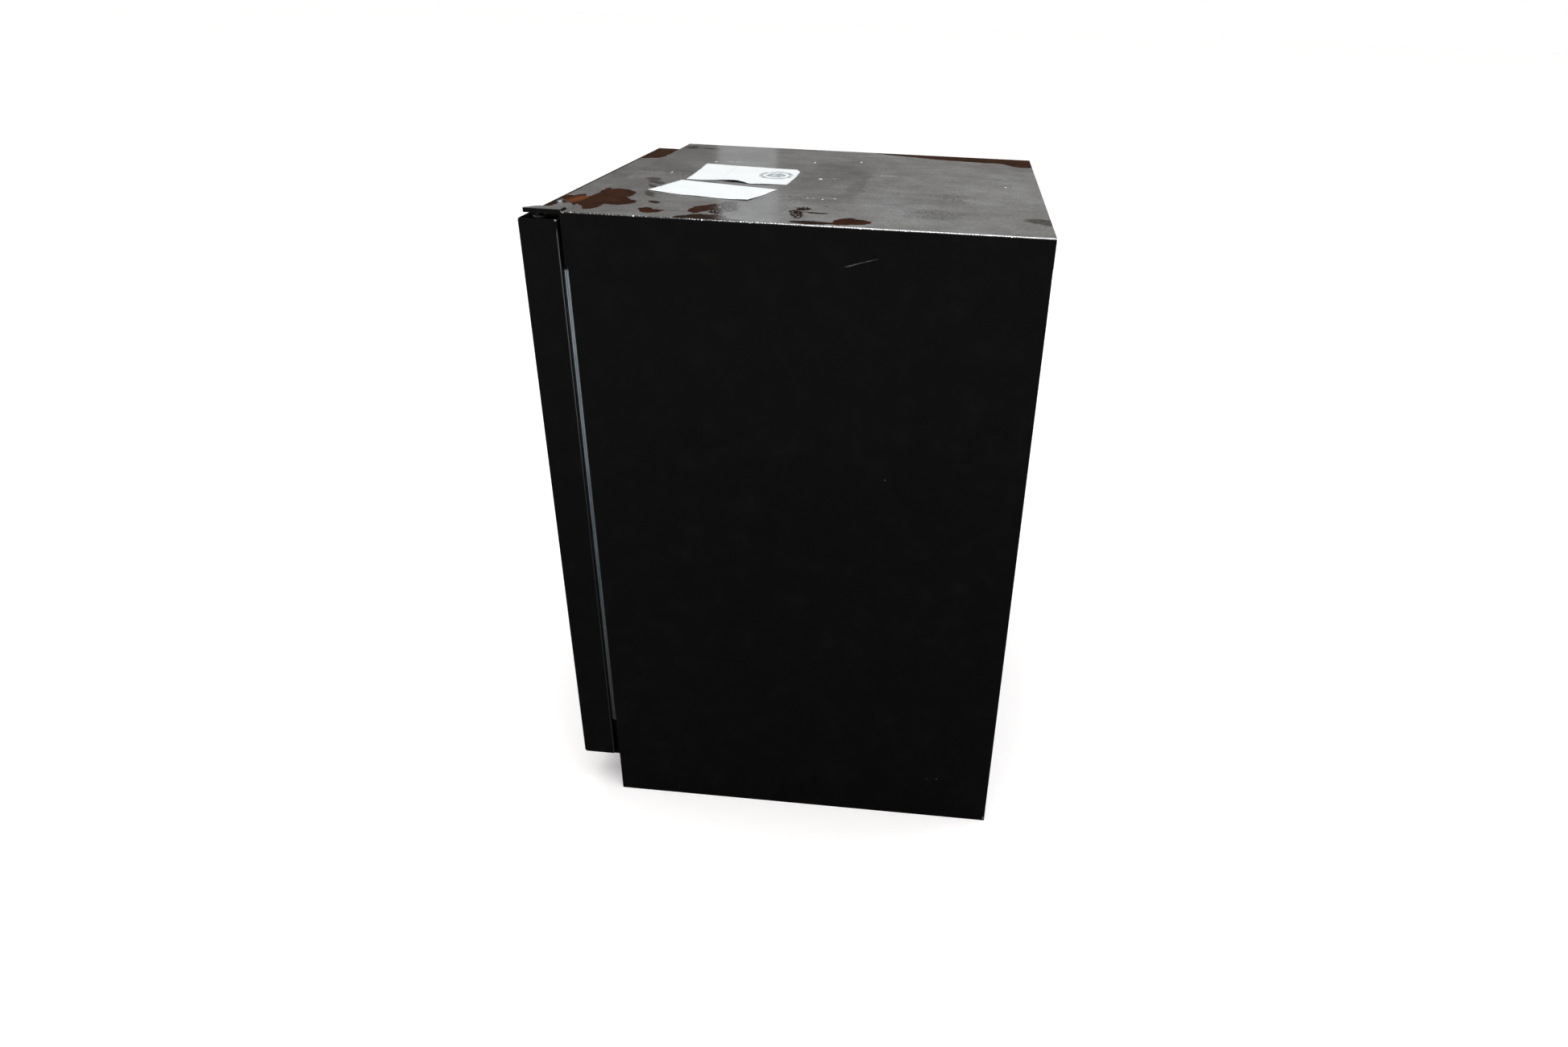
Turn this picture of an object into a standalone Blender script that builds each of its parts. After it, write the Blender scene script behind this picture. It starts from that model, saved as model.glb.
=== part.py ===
"""A black 24-inch undercounter refrigerator: steel cabinet, overlay door, cooling system and legs.

The frame: origin on the floor under the middle of the outline, +Z up, the door faces -Y and the
hinges are at +X. Every length is in metres.
"""

import math

import bmesh
import bpy
from mathutils import Matrix, Vector

# Driving dimensions
WIDTH = 0.606  # cabinet and door, side to side
HEIGHT = 0.864  # floor to the cabinet's top
DEPTH = 0.615  # door front to cabinet back
DOOR_THICKNESS = 0.047
DOOR_GAP = 0.007  # door back to cabinet face, where the gasket is
DOOR_LOW = 0.067
DOOR_HIGH = 0.8545
SHEET = 0.001  # steel sheet
CLEAR = 0.0003  # gap between pieces that touch
TOP_BEND = 0.003  # outer radius of the bend between the cabinet's top and sides
RETURN = 0.026  # width of the cabinet's front return flanges
GASKET_HALF = 0.298
GASKET_WIDTH = 0.018
GASKET_LOW = 0.127
GASKET_HIGH = 0.797
LINTEL_LOW = 0.771  # lower edge of the front return across the top
RAIL_LOW = 0.0675
RAIL_HIGH = 0.150
HINGE_INSET = 0.0105  # hinge axis in from the door's side
HINGE_FORWARD = 0.023  # hinge axis forward of the door's back
HINGE_PLATE_HIGH = 0.866
SHELF_LEVELS = (0.318, 0.450, 0.600)
BIN_LEVELS = (0.215, 0.395, 0.575)
BUTTON_PLACES = (0.060, 0.085)
CONTROL_LOW = 0.806  # the control fascia, and its window and buttons at mid height
CONTROL_HIGH = 0.848
WINDOW_HALF = 0.032
WINDOW_TALL = 0.024
LEG_X = 0.262
LEG_Y = (-0.205, 0.262)
SKID_OUT = 0.3015  # outer and inner edge of the base pan's skids
SKID_IN = 0.2795
FAN_CENTRE = (0.230, 0.118)  # y, z of the condenser fan
EVAPORATOR_FAN_Z = 0.680
EVAPORATOR_FAN = {"hub": 0.014, "tip": 0.040, "deep": 0.012, "count": 7}
CONDENSER_FAN = {"hub": 0.015, "tip": 0.054, "deep": 0.018, "count": 5}
COMPRESSOR = (0.150, 0.229)  # x, y of the compressor's axis
DRAIN = (0.020, 0.240)  # x, y of the drain tube
GLAND = (-0.262, 0.050)  # x, z of the power cord's gland
FILTER = (-0.262, 0.205)  # x, y of the filter drier
FILTER_LOW = 0.060
RISER_X = -0.205  # the refrigerant lines' way up to the evaporator
RISER_Z = 0.345
DOOR_SCREW = (0.196, -0.2955)  # x, y of the screw in the door's top
PIN_RADIUS = 0.0035
BUSHING_RADIUS = 0.0055

# Planes worked out from them
HALF = WIDTH / 2
FRONT = -DEPTH / 2
DOOR_BACK = FRONT + DOOR_THICKNESS
FACE = DOOR_BACK + DOOR_GAP
BACK = DEPTH / 2
AXIS_X = HALF - HINGE_INSET
AXIS_Y = DOOR_BACK - HINGE_FORWARD
INSIDE = HALF - SHEET  # inner face of the cabinet's sides
PANEL_HALF = INSIDE - 0.0008  # half the width of the panels between the sides
OPENING_HALF = HALF - RETURN
FILL_HALF = OPENING_HALF - 0.0005  # half the width of what fills the opening
CONTROL_MIDDLE = (CONTROL_LOW + CONTROL_HIGH) / 2

# The liner's tub, outside faces
LINER_WALL = 0.0015
LINER_HALF = 0.2605
LINER_FLOOR = 0.1665
LINER_CEILING = 0.7545
LINER_BACK = 0.2635
HUMP_FRONT = 0.1185
HUMP_TOP = 0.2985
LINER_CORNER = 0.012

# The machine space's walls, on the foam's side
DUCT_CEILING = 0.1115
MACHINE_FRONT = 0.1575
MACHINE_CEILING = 0.2585
PAN_FLOOR = 0.0135  # upper face of the base pan
PAN_SHEET = 0.0015
COVER_TOP = 0.2560

ROUND = 20  # steps round a small turned piece
ROUND_HIDDEN = 12  # steps round a small piece inside the machine space
TUBE_SIDES = 6
NEAR = 0.00001  # two values closer than this are the same

# For each plane, the indices of its two axes and of the axis across it
PLANES = {"XY": (0, 1, 2), "XZ": (0, 2, 1), "YZ": (1, 2, 0)}


# Helpers -------------------------------------------------------------------------------------


def clear_scene():
    for obj in list(bpy.data.objects):
        bpy.data.objects.remove(obj, do_unlink=True)


def material(name, colour, roughness, metallic=0.0):
    """One Principled BSDF material, made once for each name."""
    found = bpy.data.materials.get(name)
    if found:
        return found
    made = bpy.data.materials.new(name)
    made.use_nodes = True
    shader = made.node_tree.nodes["Principled BSDF"]
    shader.inputs["Base Color"].default_value = (*colour, 1.0)
    shader.inputs["Roughness"].default_value = roughness
    shader.inputs["Metallic"].default_value = metallic
    made.diffuse_color = (*colour, 1.0)
    return made


def black_paint():
    return material("black_paint", (0.012, 0.012, 0.013), 0.35, 0.0)


def galvanised():
    return material("galvanised", (0.55, 0.56, 0.57), 0.4, 0.9)


def white_plastic():
    return material("white_plastic", (0.82, 0.83, 0.83), 0.35)


def black_plastic():
    return material("black_plastic", (0.02, 0.02, 0.02), 0.5)


def grey_plastic():
    return material("grey_plastic", (0.35, 0.36, 0.37), 0.45)


def gasket_rubber():
    return material("gasket_rubber", (0.36, 0.39, 0.41), 0.6)


def black_rubber():
    return material("black_rubber", (0.03, 0.03, 0.03), 0.8)


def foam():
    return material("foam", (0.85, 0.76, 0.50), 0.9)


def glass():
    return material("glass", (0.75, 0.85, 0.83), 0.05)


def clear_plastic():
    return material("clear_plastic", (0.88, 0.88, 0.86), 0.3)


def copper():
    return material("copper", (0.72, 0.38, 0.24), 0.3, 1.0)


def aluminium():
    return material("aluminium", (0.75, 0.76, 0.77), 0.35, 0.9)


def bright_steel():
    return material("bright_steel", (0.78, 0.78, 0.80), 0.2, 1.0)


def black_enamel():
    return material("black_enamel", (0.02, 0.02, 0.022), 0.3, 0.2)


def paper():
    return material("paper", (0.80, 0.83, 0.86), 0.8)


def solid(name, bm, skin, origin=None, parent=None, smooth=False):
    """Makes the named object of a bmesh in world places, with its origin at a point of its own."""
    bmesh.ops.recalc_face_normals(bm, faces=bm.faces)
    points = [v.co for v in bm.verts]
    if origin is None:
        low = Vector([min(p[i] for p in points) for i in range(3)])
        high = Vector([max(p[i] for p in points) for i in range(3)])
        origin = (low + high) / 2
    origin = Vector(origin)
    bmesh.ops.translate(bm, verts=bm.verts, vec=-origin)
    mesh = bpy.data.meshes.new(name)
    bm.to_mesh(mesh)
    bm.free()
    obj = bpy.data.objects.new(name, mesh)
    bpy.context.scene.collection.objects.link(obj)
    mesh.materials.append(skin)
    if smooth:
        mesh.shade_smooth()
        mesh.set_sharp_from_angle(angle=math.radians(35))
    obj.location = origin
    if parent:
        obj.parent = parent
        obj.location = origin - parent.location
    return obj


def box_bm(low, high, bm=None):
    """Adds a box between two corners to a bmesh."""
    bm = bm or bmesh.new()
    low, high = Vector(low), Vector(high)
    place = Matrix.Translation((low + high) / 2) @ Matrix.Diagonal((*(high - low), 1.0))
    bmesh.ops.create_cube(bm, size=1.0, matrix=place)
    return bm


def boxes_bm(corners):
    bm = bmesh.new()
    for low, high in corners:
        box_bm(low, high, bm)
    return bm


def prism_bm(outline, plane, start, end, bm=None):
    """Extrudes a closed outline, given in a plane, from one depth to another across it."""
    bm = bm or bmesh.new()
    axes = PLANES[plane]
    rings = []
    for depth in (start, end):
        ring = []
        for a, b in outline:
            point = [0.0, 0.0, 0.0]
            point[axes[0]], point[axes[1]], point[axes[2]] = a, b, depth
            ring.append(bm.verts.new(point))
        rings.append(ring)
    count = len(outline)
    bm.faces.new(rings[0])
    bm.faces.new(rings[1][::-1])
    for i in range(count):
        j = (i + 1) % count
        bm.faces.new((rings[0][i], rings[0][j], rings[1][j], rings[1][i]))
    bmesh.ops.recalc_face_normals(bm, faces=bm.faces)
    return bm


def rectangle(low_a, high_a, low_b, high_b, corner=0.0, steps=4):
    """Points round a rectangle, with arcs at its corners where it has a corner radius."""
    if corner <= 0:
        return [(low_a, low_b), (high_a, low_b), (high_a, high_b), (low_a, high_b)]
    points = []
    centres = (
        (high_a - corner, high_b - corner, 0.0),
        (low_a + corner, high_b - corner, 90.0),
        (low_a + corner, low_b + corner, 180.0),
        (high_a - corner, low_b + corner, 270.0),
    )
    for a, b, turn in centres:
        for step in range(steps + 1):
            angle = math.radians(turn + 90.0 * step / steps)
            points.append((a + corner * math.cos(angle), b + corner * math.sin(angle)))
    return points


def loft_bm(plane, sides, layers, corner=0.0, capped=True, steps=4):
    """A solid through stacked rectangles. A layer is (insets, depth), where insets is one number
    or (both sides along the first axis, low, high along the second). Capped, its first and last
    layers are faces. Otherwise they join, which makes a frame. Each corner's arc has the steps."""
    bm = bmesh.new()
    axes = PLANES[plane]
    rings = []
    for insets, depth in layers:
        side, low, high = insets if isinstance(insets, tuple) else (insets, insets, insets)
        radius = max(corner - side, 0.001) if corner else 0.0
        outline = rectangle(
            sides[0] + side, sides[1] - side, sides[2] + low, sides[3] - high, radius, steps
        )
        ring = []
        for a, b in outline:
            point = [0.0, 0.0, 0.0]
            point[axes[0]], point[axes[1]], point[axes[2]] = a, b, depth
            ring.append(bm.verts.new(point))
        rings.append(ring)
    pairs = list(zip(rings, rings[1:]))
    if capped:
        bm.faces.new(rings[0])
        bm.faces.new(rings[-1])
    else:
        pairs.append((rings[-1], rings[0]))
    for first, second in pairs:
        for i in range(len(first)):
            j = (i + 1) % len(first)
            bm.faces.new((first[i], first[j], second[j], second[i]))
    bmesh.ops.recalc_face_normals(bm, faces=bm.faces)
    return bm


def turned_bm(profile, axis, centre, steps=ROUND, bm=None):
    """Turns a closed profile of (radius, height) about an axis through a point. A point at radius
    zero is on the axis."""
    bm = bm or bmesh.new()
    frame = Vector((0, 0, 1)).rotation_difference(Vector(axis)).to_matrix().to_4x4()
    place = Matrix.Translation(Vector(centre)) @ frame
    rings = []
    for radius, height in profile:
        if radius == 0:
            rings.append([bm.verts.new(place @ Vector((0, 0, height)))])
            continue
        ring = []
        for step in range(steps):
            angle = 2 * math.pi * step / steps
            point = Vector((radius * math.cos(angle), radius * math.sin(angle), height))
            ring.append(bm.verts.new(place @ point))
        rings.append(ring)
    for first, second in zip(rings, rings[1:] + rings[:1]):
        if len(first) == 1 and len(second) == 1:
            continue
        for i in range(steps):
            j = (i + 1) % steps
            corners = [first[i % len(first)], first[j % len(first)]]
            corners += [second[j % len(second)], second[i % len(second)]]
            bm.faces.new(list(dict.fromkeys(corners)))
    bmesh.ops.recalc_face_normals(bm, faces=bm.faces)
    return bm


def rod_bm(centre, axis, radius, length, steps=ROUND, bm=None):
    """A cylinder whose middle is at a point."""
    half = length / 2
    profile = [(0, -half), (radius, -half), (radius, half), (0, half)]
    return turned_bm(profile, axis, centre, steps, bm)


def tube_bm(route, radius, sides=TUBE_SIDES):
    """A round tube of one radius along a route of points, with flat ends."""
    bm = bmesh.new()
    points = [Vector(p) for p in route]
    normal = None
    rings = []
    for i, point in enumerate(points):
        before = points[max(i - 1, 0)]
        after = points[min(i + 1, len(points) - 1)]
        along = (after - before).normalized()
        if normal is None:
            normal = along.orthogonal().normalized()
        normal = (normal - along * normal.dot(along)).normalized()
        across = along.cross(normal)
        ring = []
        for side in range(sides):
            angle = 2 * math.pi * side / sides
            offset = normal * math.cos(angle) + across * math.sin(angle)
            ring.append(bm.verts.new(point + offset * radius))
        rings.append(ring)
    bm.faces.new(rings[0])
    bm.faces.new(rings[-1])
    for first, second in zip(rings, rings[1:]):
        for i in range(sides):
            j = (i + 1) % sides
            bm.faces.new((first[i], first[j], second[j], second[i]))
    bmesh.ops.recalc_face_normals(bm, faces=bm.faces)
    return bm


def rounded_route(corners, radius, steps=3):
    """A route through corner points, with an arc of one radius at each inner corner."""
    points = [Vector(p) for p in corners]
    route = [points[0]]
    for before, corner, after in zip(points, points[1:], points[2:]):
        back = (before - corner).normalized()
        on = (after - corner).normalized()
        half = back.angle(on) / 2
        spare = min((before - corner).length, (after - corner).length) / 2
        reach = min(radius / math.tan(half), spare)
        bend = reach * math.tan(half)
        centre = corner + (back + on).normalized() * (bend / math.sin(half))
        first = (corner + back * reach - centre).normalized()
        last = (corner + on * reach - centre).normalized()
        for step in range(steps + 1):
            point = centre + first.slerp(last, step / steps) * bend
            if (point - route[-1]).length > CLEAR:
                route.append(point)
    route.append(points[-1])
    return route


def round_edges(bm, width, steps, wanted):
    """Rounds the edges for which wanted(first end, second end) is true."""
    edges = [e for e in bm.edges if wanted(e.verts[0].co, e.verts[1].co)]
    bmesh.ops.bevel(bm, geom=edges, offset=width, segments=steps, profile=0.5, affect="EDGES")
    return bm


def shape_with(obj, bm, operation="DIFFERENCE"):
    """Gives an object a Boolean modifier, whose hidden helper is the bmesh."""
    name = f"{obj.name}_{operation.lower()}_{len(obj.modifiers) + 1}"
    mesh = bpy.data.meshes.new(name)
    bmesh.ops.recalc_face_normals(bm, faces=bm.faces)
    bm.to_mesh(mesh)
    bm.free()
    helper = bpy.data.objects.new(name, mesh)
    bpy.context.scene.collection.objects.link(helper)
    helper.hide_render = True
    helper.display_type = "WIRE"
    modifier = obj.modifiers.new(operation.lower(), "BOOLEAN")
    modifier.operation = operation
    modifier.object = helper
    modifier.solver = "EXACT"
    return obj


def along(a, b, axis):
    """True when an edge runs along one axis."""
    return all(abs(a[i] - b[i]) < NEAR for i in range(3) if i != axis)


def along_top(top):
    """Tells round_edges to take the edges that run along Y at one height."""
    return lambda a, b: along(a, b, 1) and min(a.z, b.z) > top - NEAR


# Cabinet -------------------------------------------------------------------------------------


def cabinet_wrapper():
    """Both sides and the top, folded from one sheet, with returns round the front and the back."""
    outer = box_bm((-HALF, FACE, 0), (HALF, BACK, HEIGHT))
    round_edges(outer, TOP_BEND, 4, along_top(HEIGHT))
    obj = solid("cabinet_wrapper", outer, black_paint())
    inner = box_bm((-INSIDE, FACE + SHEET, -0.01), (INSIDE, BACK - SHEET, HEIGHT - SHEET))
    round_edges(inner, TOP_BEND - SHEET, 4, along_top(HEIGHT - SHEET))
    shape_with(obj, inner)
    mouth = box_bm((-OPENING_HALF, FACE - 0.01, -0.02), (OPENING_HALF, FACE + 0.005, LINTEL_LOW))
    shape_with(obj, mouth)
    lip = 0.012
    rear = box_bm((-HALF + lip, BACK - 0.005, -0.02), (HALF - lip, BACK + 0.01, HEIGHT - lip))
    shape_with(obj, rear)
    shape_with(obj, button_holes_bm(0.006))
    return obj


def button_holes_bm(deep):
    """The space round both push buttons, as deep as what it is cut from needs."""
    holes = bmesh.new()
    for x in BUTTON_PLACES:
        rod_bm((x, FACE, CONTROL_MIDDLE), (0, 1, 0), 0.0055, deep, bm=holes)
    return holes


def back_panel():
    """Flat sheet inside the rear returns, over the foam."""
    low = (-PANEL_HALF, BACK - 0.0025, COVER_TOP + 0.002)
    high = (PANEL_HALF, BACK - 0.0013, HEIGHT - 0.0036)
    return solid("back_panel", box_bm(low, high), galvanised())


def base_pan():
    """Hat section with a skid under each side. Its floor carries the compressor."""
    web = SKID_IN + PAN_SHEET
    outline = [
        (SKID_OUT, 0),
        (SKID_IN, 0),
        (SKID_IN, PAN_FLOOR - PAN_SHEET),
        (-SKID_IN, PAN_FLOOR - PAN_SHEET),
        (-SKID_IN, 0),
        (-SKID_OUT, 0),
        (-SKID_OUT, PAN_SHEET),
        (-web, PAN_SHEET),
        (-web, PAN_FLOOR),
        (web, PAN_FLOOR),
        (web, PAN_SHEET),
        (SKID_OUT, PAN_SHEET),
    ]
    obj = solid("base_pan", prism_bm(outline, "XZ", FACE + 0.014, BACK - 0.0084), galvanised())
    nuts, holes = bmesh.new(), bmesh.new()
    nut_high = 0.0105
    for x in (-LEG_X, LEG_X):
        for y in LEG_Y:
            middle = PAN_FLOOR + nut_high / 2 - 0.0005
            rod_bm((x, y, middle), (0, 0, 1), 0.009, nut_high, 6, nuts)
            rod_bm((x, y, PAN_FLOOR), (0, 0, 1), 0.0044, 0.05, ROUND, holes)
    shape_with(obj, nuts, "UNION")
    shape_with(obj, holes)
    return obj


def lower_front_rail():
    """Channel across the front below the opening."""
    deep, thick = 0.0122, 0.0012
    outline = [
        (FACE, RAIL_LOW),
        (FACE + deep, RAIL_LOW),
        (FACE + deep, RAIL_LOW + thick),
        (FACE + thick, RAIL_LOW + thick),
        (FACE + thick, RAIL_HIGH - thick),
        (FACE + deep, RAIL_HIGH - thick),
        (FACE + deep, RAIL_HIGH),
        (FACE, RAIL_HIGH),
    ]
    return solid("lower_front_rail", prism_bm(outline, "YZ", -FILL_HALF, FILL_HALF), black_paint())


def foam_bulkhead():
    """Folded sheet that closes the foam over the air duct and the machine space."""
    front, rear, thick = FACE + 0.014, 0.304, 0.001
    outline = [
        (front, DUCT_CEILING - thick),
        (MACHINE_FRONT + thick, DUCT_CEILING - thick),
        (MACHINE_FRONT + thick, MACHINE_CEILING - thick),
        (rear, MACHINE_CEILING - thick),
        (rear, MACHINE_CEILING),
        (MACHINE_FRONT, MACHINE_CEILING),
        (MACHINE_FRONT, DUCT_CEILING),
        (front, DUCT_CEILING),
    ]
    obj = solid("foam_bulkhead", prism_bm(outline, "YZ", -PANEL_HALF, PANEL_HALF), galvanised())
    middle = MACHINE_CEILING - thick / 2
    line_hole = box_bm((RISER_X - 0.008, 0.2845, middle - 0.01), (RISER_X + 0.008, 0.2995, middle + 0.01))
    shape_with(obj, line_hole)
    shape_with(obj, rod_bm((*DRAIN, middle), (0, 0, 1), 0.0068, 0.02))
    return obj


def tub_outline(grow):
    """The liner's profile seen from the side, grown outwards."""
    front = FACE - 0.02
    return [
        (front, LINER_FLOOR - grow),
        (HUMP_FRONT + grow, LINER_FLOOR - grow),
        (HUMP_FRONT + grow, HUMP_TOP - grow),
        (LINER_BACK + grow, HUMP_TOP - grow),
        (LINER_BACK + grow, LINER_CEILING + grow),
        (front, LINER_CEILING + grow),
    ]


def tub_bm(grow, corner):
    """The tub's space with rounded edges, open to the front."""
    half = LINER_HALF + grow
    bm = prism_bm(tub_outline(grow), "YZ", -half, half)
    if corner:
        round_edges(bm, corner, 3, lambda a, b: max(a.y, b.y) > FACE)
    return bm


def insulation_foam():
    """Foam between the wrapper and the liner, with grooves for what passes through it."""
    front, rail_back = FACE + 0.0014, FACE + 0.0143
    rear, top = BACK - 0.0029, HEIGHT - SHEET - CLEAR
    outline = [
        (rail_back, DUCT_CEILING + CLEAR),
        (MACHINE_FRONT - CLEAR, DUCT_CEILING + CLEAR),
        (MACHINE_FRONT - CLEAR, MACHINE_CEILING + CLEAR),
        (rear, MACHINE_CEILING + CLEAR),
        (rear, top),
        (front, top),
        (front, RAIL_HIGH + 0.0006),
        (rail_back, RAIL_HIGH + 0.0006),
    ]
    bm = prism_bm(outline, "YZ", -INSIDE + CLEAR, INSIDE - CLEAR)
    round_edges(bm, TOP_BEND, 2, along_top(top))
    obj = solid("insulation_foam", bm, foam())
    shape_with(obj, tub_bm(CLEAR, LINER_CORNER + LINER_WALL))
    groove_low = (RISER_X - 0.009, LINER_BACK - 0.01, 0.250)
    groove_high = (RISER_X + 0.022, BACK, RISER_Z + 0.009)
    shape_with(obj, box_bm(groove_low, groove_high))
    shape_with(obj, rod_bm((*DRAIN, 0.278), (0, 0, 1), 0.0072, 0.08))
    low, high = CONTROL_MIDDLE - WINDOW_TALL / 2, CONTROL_MIDDLE + WINDOW_TALL / 2
    switch_space = box_bm((0.045, FACE - 0.01, low), (0.100, FACE + 0.016, high))
    shape_with(obj, switch_space)
    return obj


def liner():
    """White moulded tub with a lip round its mouth, a hump over the machine space and ledges."""
    obj = solid("liner", tub_bm(0, LINER_CORNER + LINER_WALL), white_plastic())
    low, high, lip = RAIL_HIGH + 0.0006, LINTEL_LOW - 0.0005, FACE + 0.0001
    shape_with(obj, box_bm((-FILL_HALF, lip, low), (FILL_HALF, lip + SHEET, high)), "UNION")
    shape_with(obj, box_bm((-HALF, FACE - 0.04, 0), (HALF, lip, HEIGHT)))
    shape_with(obj, tub_bm(-LINER_WALL, LINER_CORNER))
    ledges = bmesh.new()
    tip, root, thick = 0.249, LINER_HALF - LINER_WALL / 2, 0.005
    for level in SHELF_LEVELS:
        for side in (-1, 1):
            ends = sorted((side * tip, side * root))
            top = level - CLEAR
            box_bm((ends[0], -0.140, top - thick), (ends[1], 0.200, top), ledges)
    shape_with(obj, ledges, "UNION")
    line_low = (RISER_X - 0.006, LINER_BACK - 0.01, RISER_Z - 0.007)
    line_high = (RISER_X + 0.021, LINER_BACK + 0.01, RISER_Z + 0.007)
    shape_with(obj, box_bm(line_low, line_high))
    shape_with(obj, rod_bm((*DRAIN, HUMP_TOP), (0, 0, 1), 0.0068, 0.02))
    return obj


def kick_grille():
    """Louvred panel below the door, which lets air in to the condenser."""
    low, high, edge = 0.004, 0.0665, 0.003
    front, web, rear = FACE, FACE + 0.0020, FACE + 0.0095
    layers = [(edge, web), (edge, rear), (0, rear), (0, front)]
    obj = solid("kick_grille", loft_bm("XZ", (-FILL_HALF, FILL_HALF, low, high), layers), black_plastic())
    count, pitch, wide = 28, 0.0175, 0.009
    slots = []
    for i in range(count):
        x = (i - (count - 1) / 2) * pitch
        slot_low = (x - wide / 2, front - 0.005, low + 0.011)
        slot_high = (x + wide / 2, front + 0.006, high - 0.011)
        slots.append((slot_low, slot_high))
    shape_with(obj, boxes_bm(slots))
    return obj


def control_fascia():
    """Thin black panel across the top of the opening, with a window and two button holes."""
    half = 0.110
    layers = [(0, FACE - CLEAR), (0, FACE - 0.0020), (0.0012, FACE - 0.0028)]
    bm = loft_bm("XZ", (-half, half, CONTROL_LOW, CONTROL_HIGH), layers, 0.006)
    obj = solid("control_fascia", bm, black_plastic())
    low = (-WINDOW_HALF, FACE - 0.01, CONTROL_MIDDLE - WINDOW_TALL / 2)
    high = (WINDOW_HALF, FACE + 0.01, CONTROL_MIDDLE + WINDOW_TALL / 2)
    shape_with(obj, box_bm(low, high))
    shape_with(obj, button_holes_bm(0.020))
    return obj


def display_window():
    half, tall = WINDOW_HALF - CLEAR, WINDOW_TALL / 2 - CLEAR
    low = (-half, FACE - 0.0026, CONTROL_MIDDLE - tall)
    high = (half, FACE - 0.0008, CONTROL_MIDDLE + tall)
    return solid("display_window", box_bm(low, high), glass())


def control_buttons():
    """Two push buttons, which travel into the cabinet."""
    for number, x in enumerate(BUTTON_PLACES, start=1):
        profile = [(0, -0.0060), (0.0050, -0.0060), (0.0050, 0.0036), (0.0042, 0.0044), (0, 0.0044)]
        place = (x, FACE, CONTROL_MIDDLE)
        bm = turned_bm(profile, (0, -1, 0), place)
        solid(f"control_button_{number}", bm, grey_plastic(), origin=place, smooth=True)


def light_lens():
    """Shallow lens under the liner's ceiling."""
    ceiling = LINER_CEILING - LINER_WALL - CLEAR
    layers = [(0, ceiling), (0, ceiling - 0.004), (0.003, ceiling - 0.0075), (0.006, ceiling - 0.0085)]
    bm = loft_bm("XY", (-0.055, 0.055, -0.205, -0.135), layers, 0.010)
    return solid("light_lens", bm, clear_plastic())


def shelves():
    """Glass shelves on the liner's ledges, each with a moulded front trim."""
    half, front, rear, thick = 0.2572, -0.153, 0.205, 0.004
    for number, level in enumerate(SHELF_LEVELS, start=1):
        bm = box_bm((-half, front, level), (half, rear, level + thick))
        round_edges(bm, 0.0006, 1, lambda a, b: True)
        solid(f"shelf_glass_{number}", bm, glass())
        mouth, nose = -0.146, -0.158
        outline = [
            (nose + 0.001, level - 0.0035),
            (mouth, level - 0.0035),
            (mouth, level - CLEAR),
            (front - CLEAR, level - CLEAR),
            (front - CLEAR, level + thick + CLEAR),
            (mouth, level + thick + CLEAR),
            (mouth, level + 0.0065),
            (nose + 0.002, level + 0.0075),
            (nose, level + 0.0060),
            (nose, level - 0.0025),
        ]
        solid(f"shelf_trim_{number}", prism_bm(outline, "YZ", -half, half), grey_plastic())


# Cooling system ------------------------------------------------------------------------------


def evaporator_cover():
    """White cover over the evaporator, with an inlet grille low down and a fan grille above."""
    face, rear, wall = 0.2180, LINER_BACK - LINER_WALL - CLEAR, 0.002
    half, bottom, top = 0.225, 0.312, 0.740
    sides = (-half, half, bottom, top)
    layers = [
        (wall, face + wall),
        (wall, rear),
        (0, rear),
        (0, face + 0.003),
        (0.001, face + 0.001),
        (0.003, face),
    ]
    obj = solid("evaporator_cover", loft_bm("XZ", sides, layers, 0.008), white_plastic())
    slots = []
    inlets, pitch, wide, tall = 12, 0.030, 0.010, 0.036
    for i in range(inlets):
        x = (i - (inlets - 1) / 2) * pitch
        low = (x - wide / 2, face - 0.01, bottom + 0.018)
        high = (x + wide / 2, face + 0.01, bottom + 0.018 + tall)
        slots.append((low, high))
    radius, rows, rise, slit = 0.038, 7, 0.0108, 0.006
    for i in range(rows):
        up = (i - (rows - 1) / 2) * rise
        reach = math.sqrt(radius**2 - up**2)
        z = EVAPORATOR_FAN_Z + up
        slots.append(((-reach, face - 0.01, z - slit / 2), (reach, face + 0.01, z + slit / 2)))
    shape_with(obj, boxes_bm(slots))
    return obj


def evaporator_plate():
    """Aluminium plate behind the tube, on four standoffs."""
    half, low, high, face, rear = 0.200, 0.350, 0.610, 0.2515, 0.2527
    bm = box_bm((-half, face, low), (half, rear, high))
    obj = solid("evaporator_plate", bm, aluminium())
    feet = []
    size, back = 0.006, LINER_BACK - LINER_WALL - CLEAR
    for x in (-0.14, 0.14):
        for z in (low + 0.03, high - 0.03):
            middle = (face + rear) / 2
            feet.append(((x - size, middle, z - size), (x + size, back, z + size)))
    shape_with(obj, boxes_bm(feet), "UNION")
    return obj


def evaporator_tube():
    """Serpentine tube, with both ends at the opening in the liner's back."""
    left, right, low, rise, passes, y = -0.165, 0.190, 0.370, 0.0305, 8, 0.2465
    return_x, hole_y = -0.190, 0.2612
    corners = [(RISER_X, hole_y, RISER_Z), (RISER_X, y, RISER_Z), (RISER_X, y, low), (right, y, low)]
    for i in range(1, passes):
        z = low + rise * i
        start, end = (right, left) if i % 2 else (left, right)
        if i == passes - 1:
            end = return_x
        corners += [(start, y, z), (end, y, z)]
    corners += [(return_x, y, RISER_Z), (return_x, hole_y, RISER_Z)]
    route = rounded_route(corners, rise / 2 - 0.0001)
    return solid("evaporator_tube", tube_bm(route, 0.0035), copper(), smooth=True)


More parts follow.
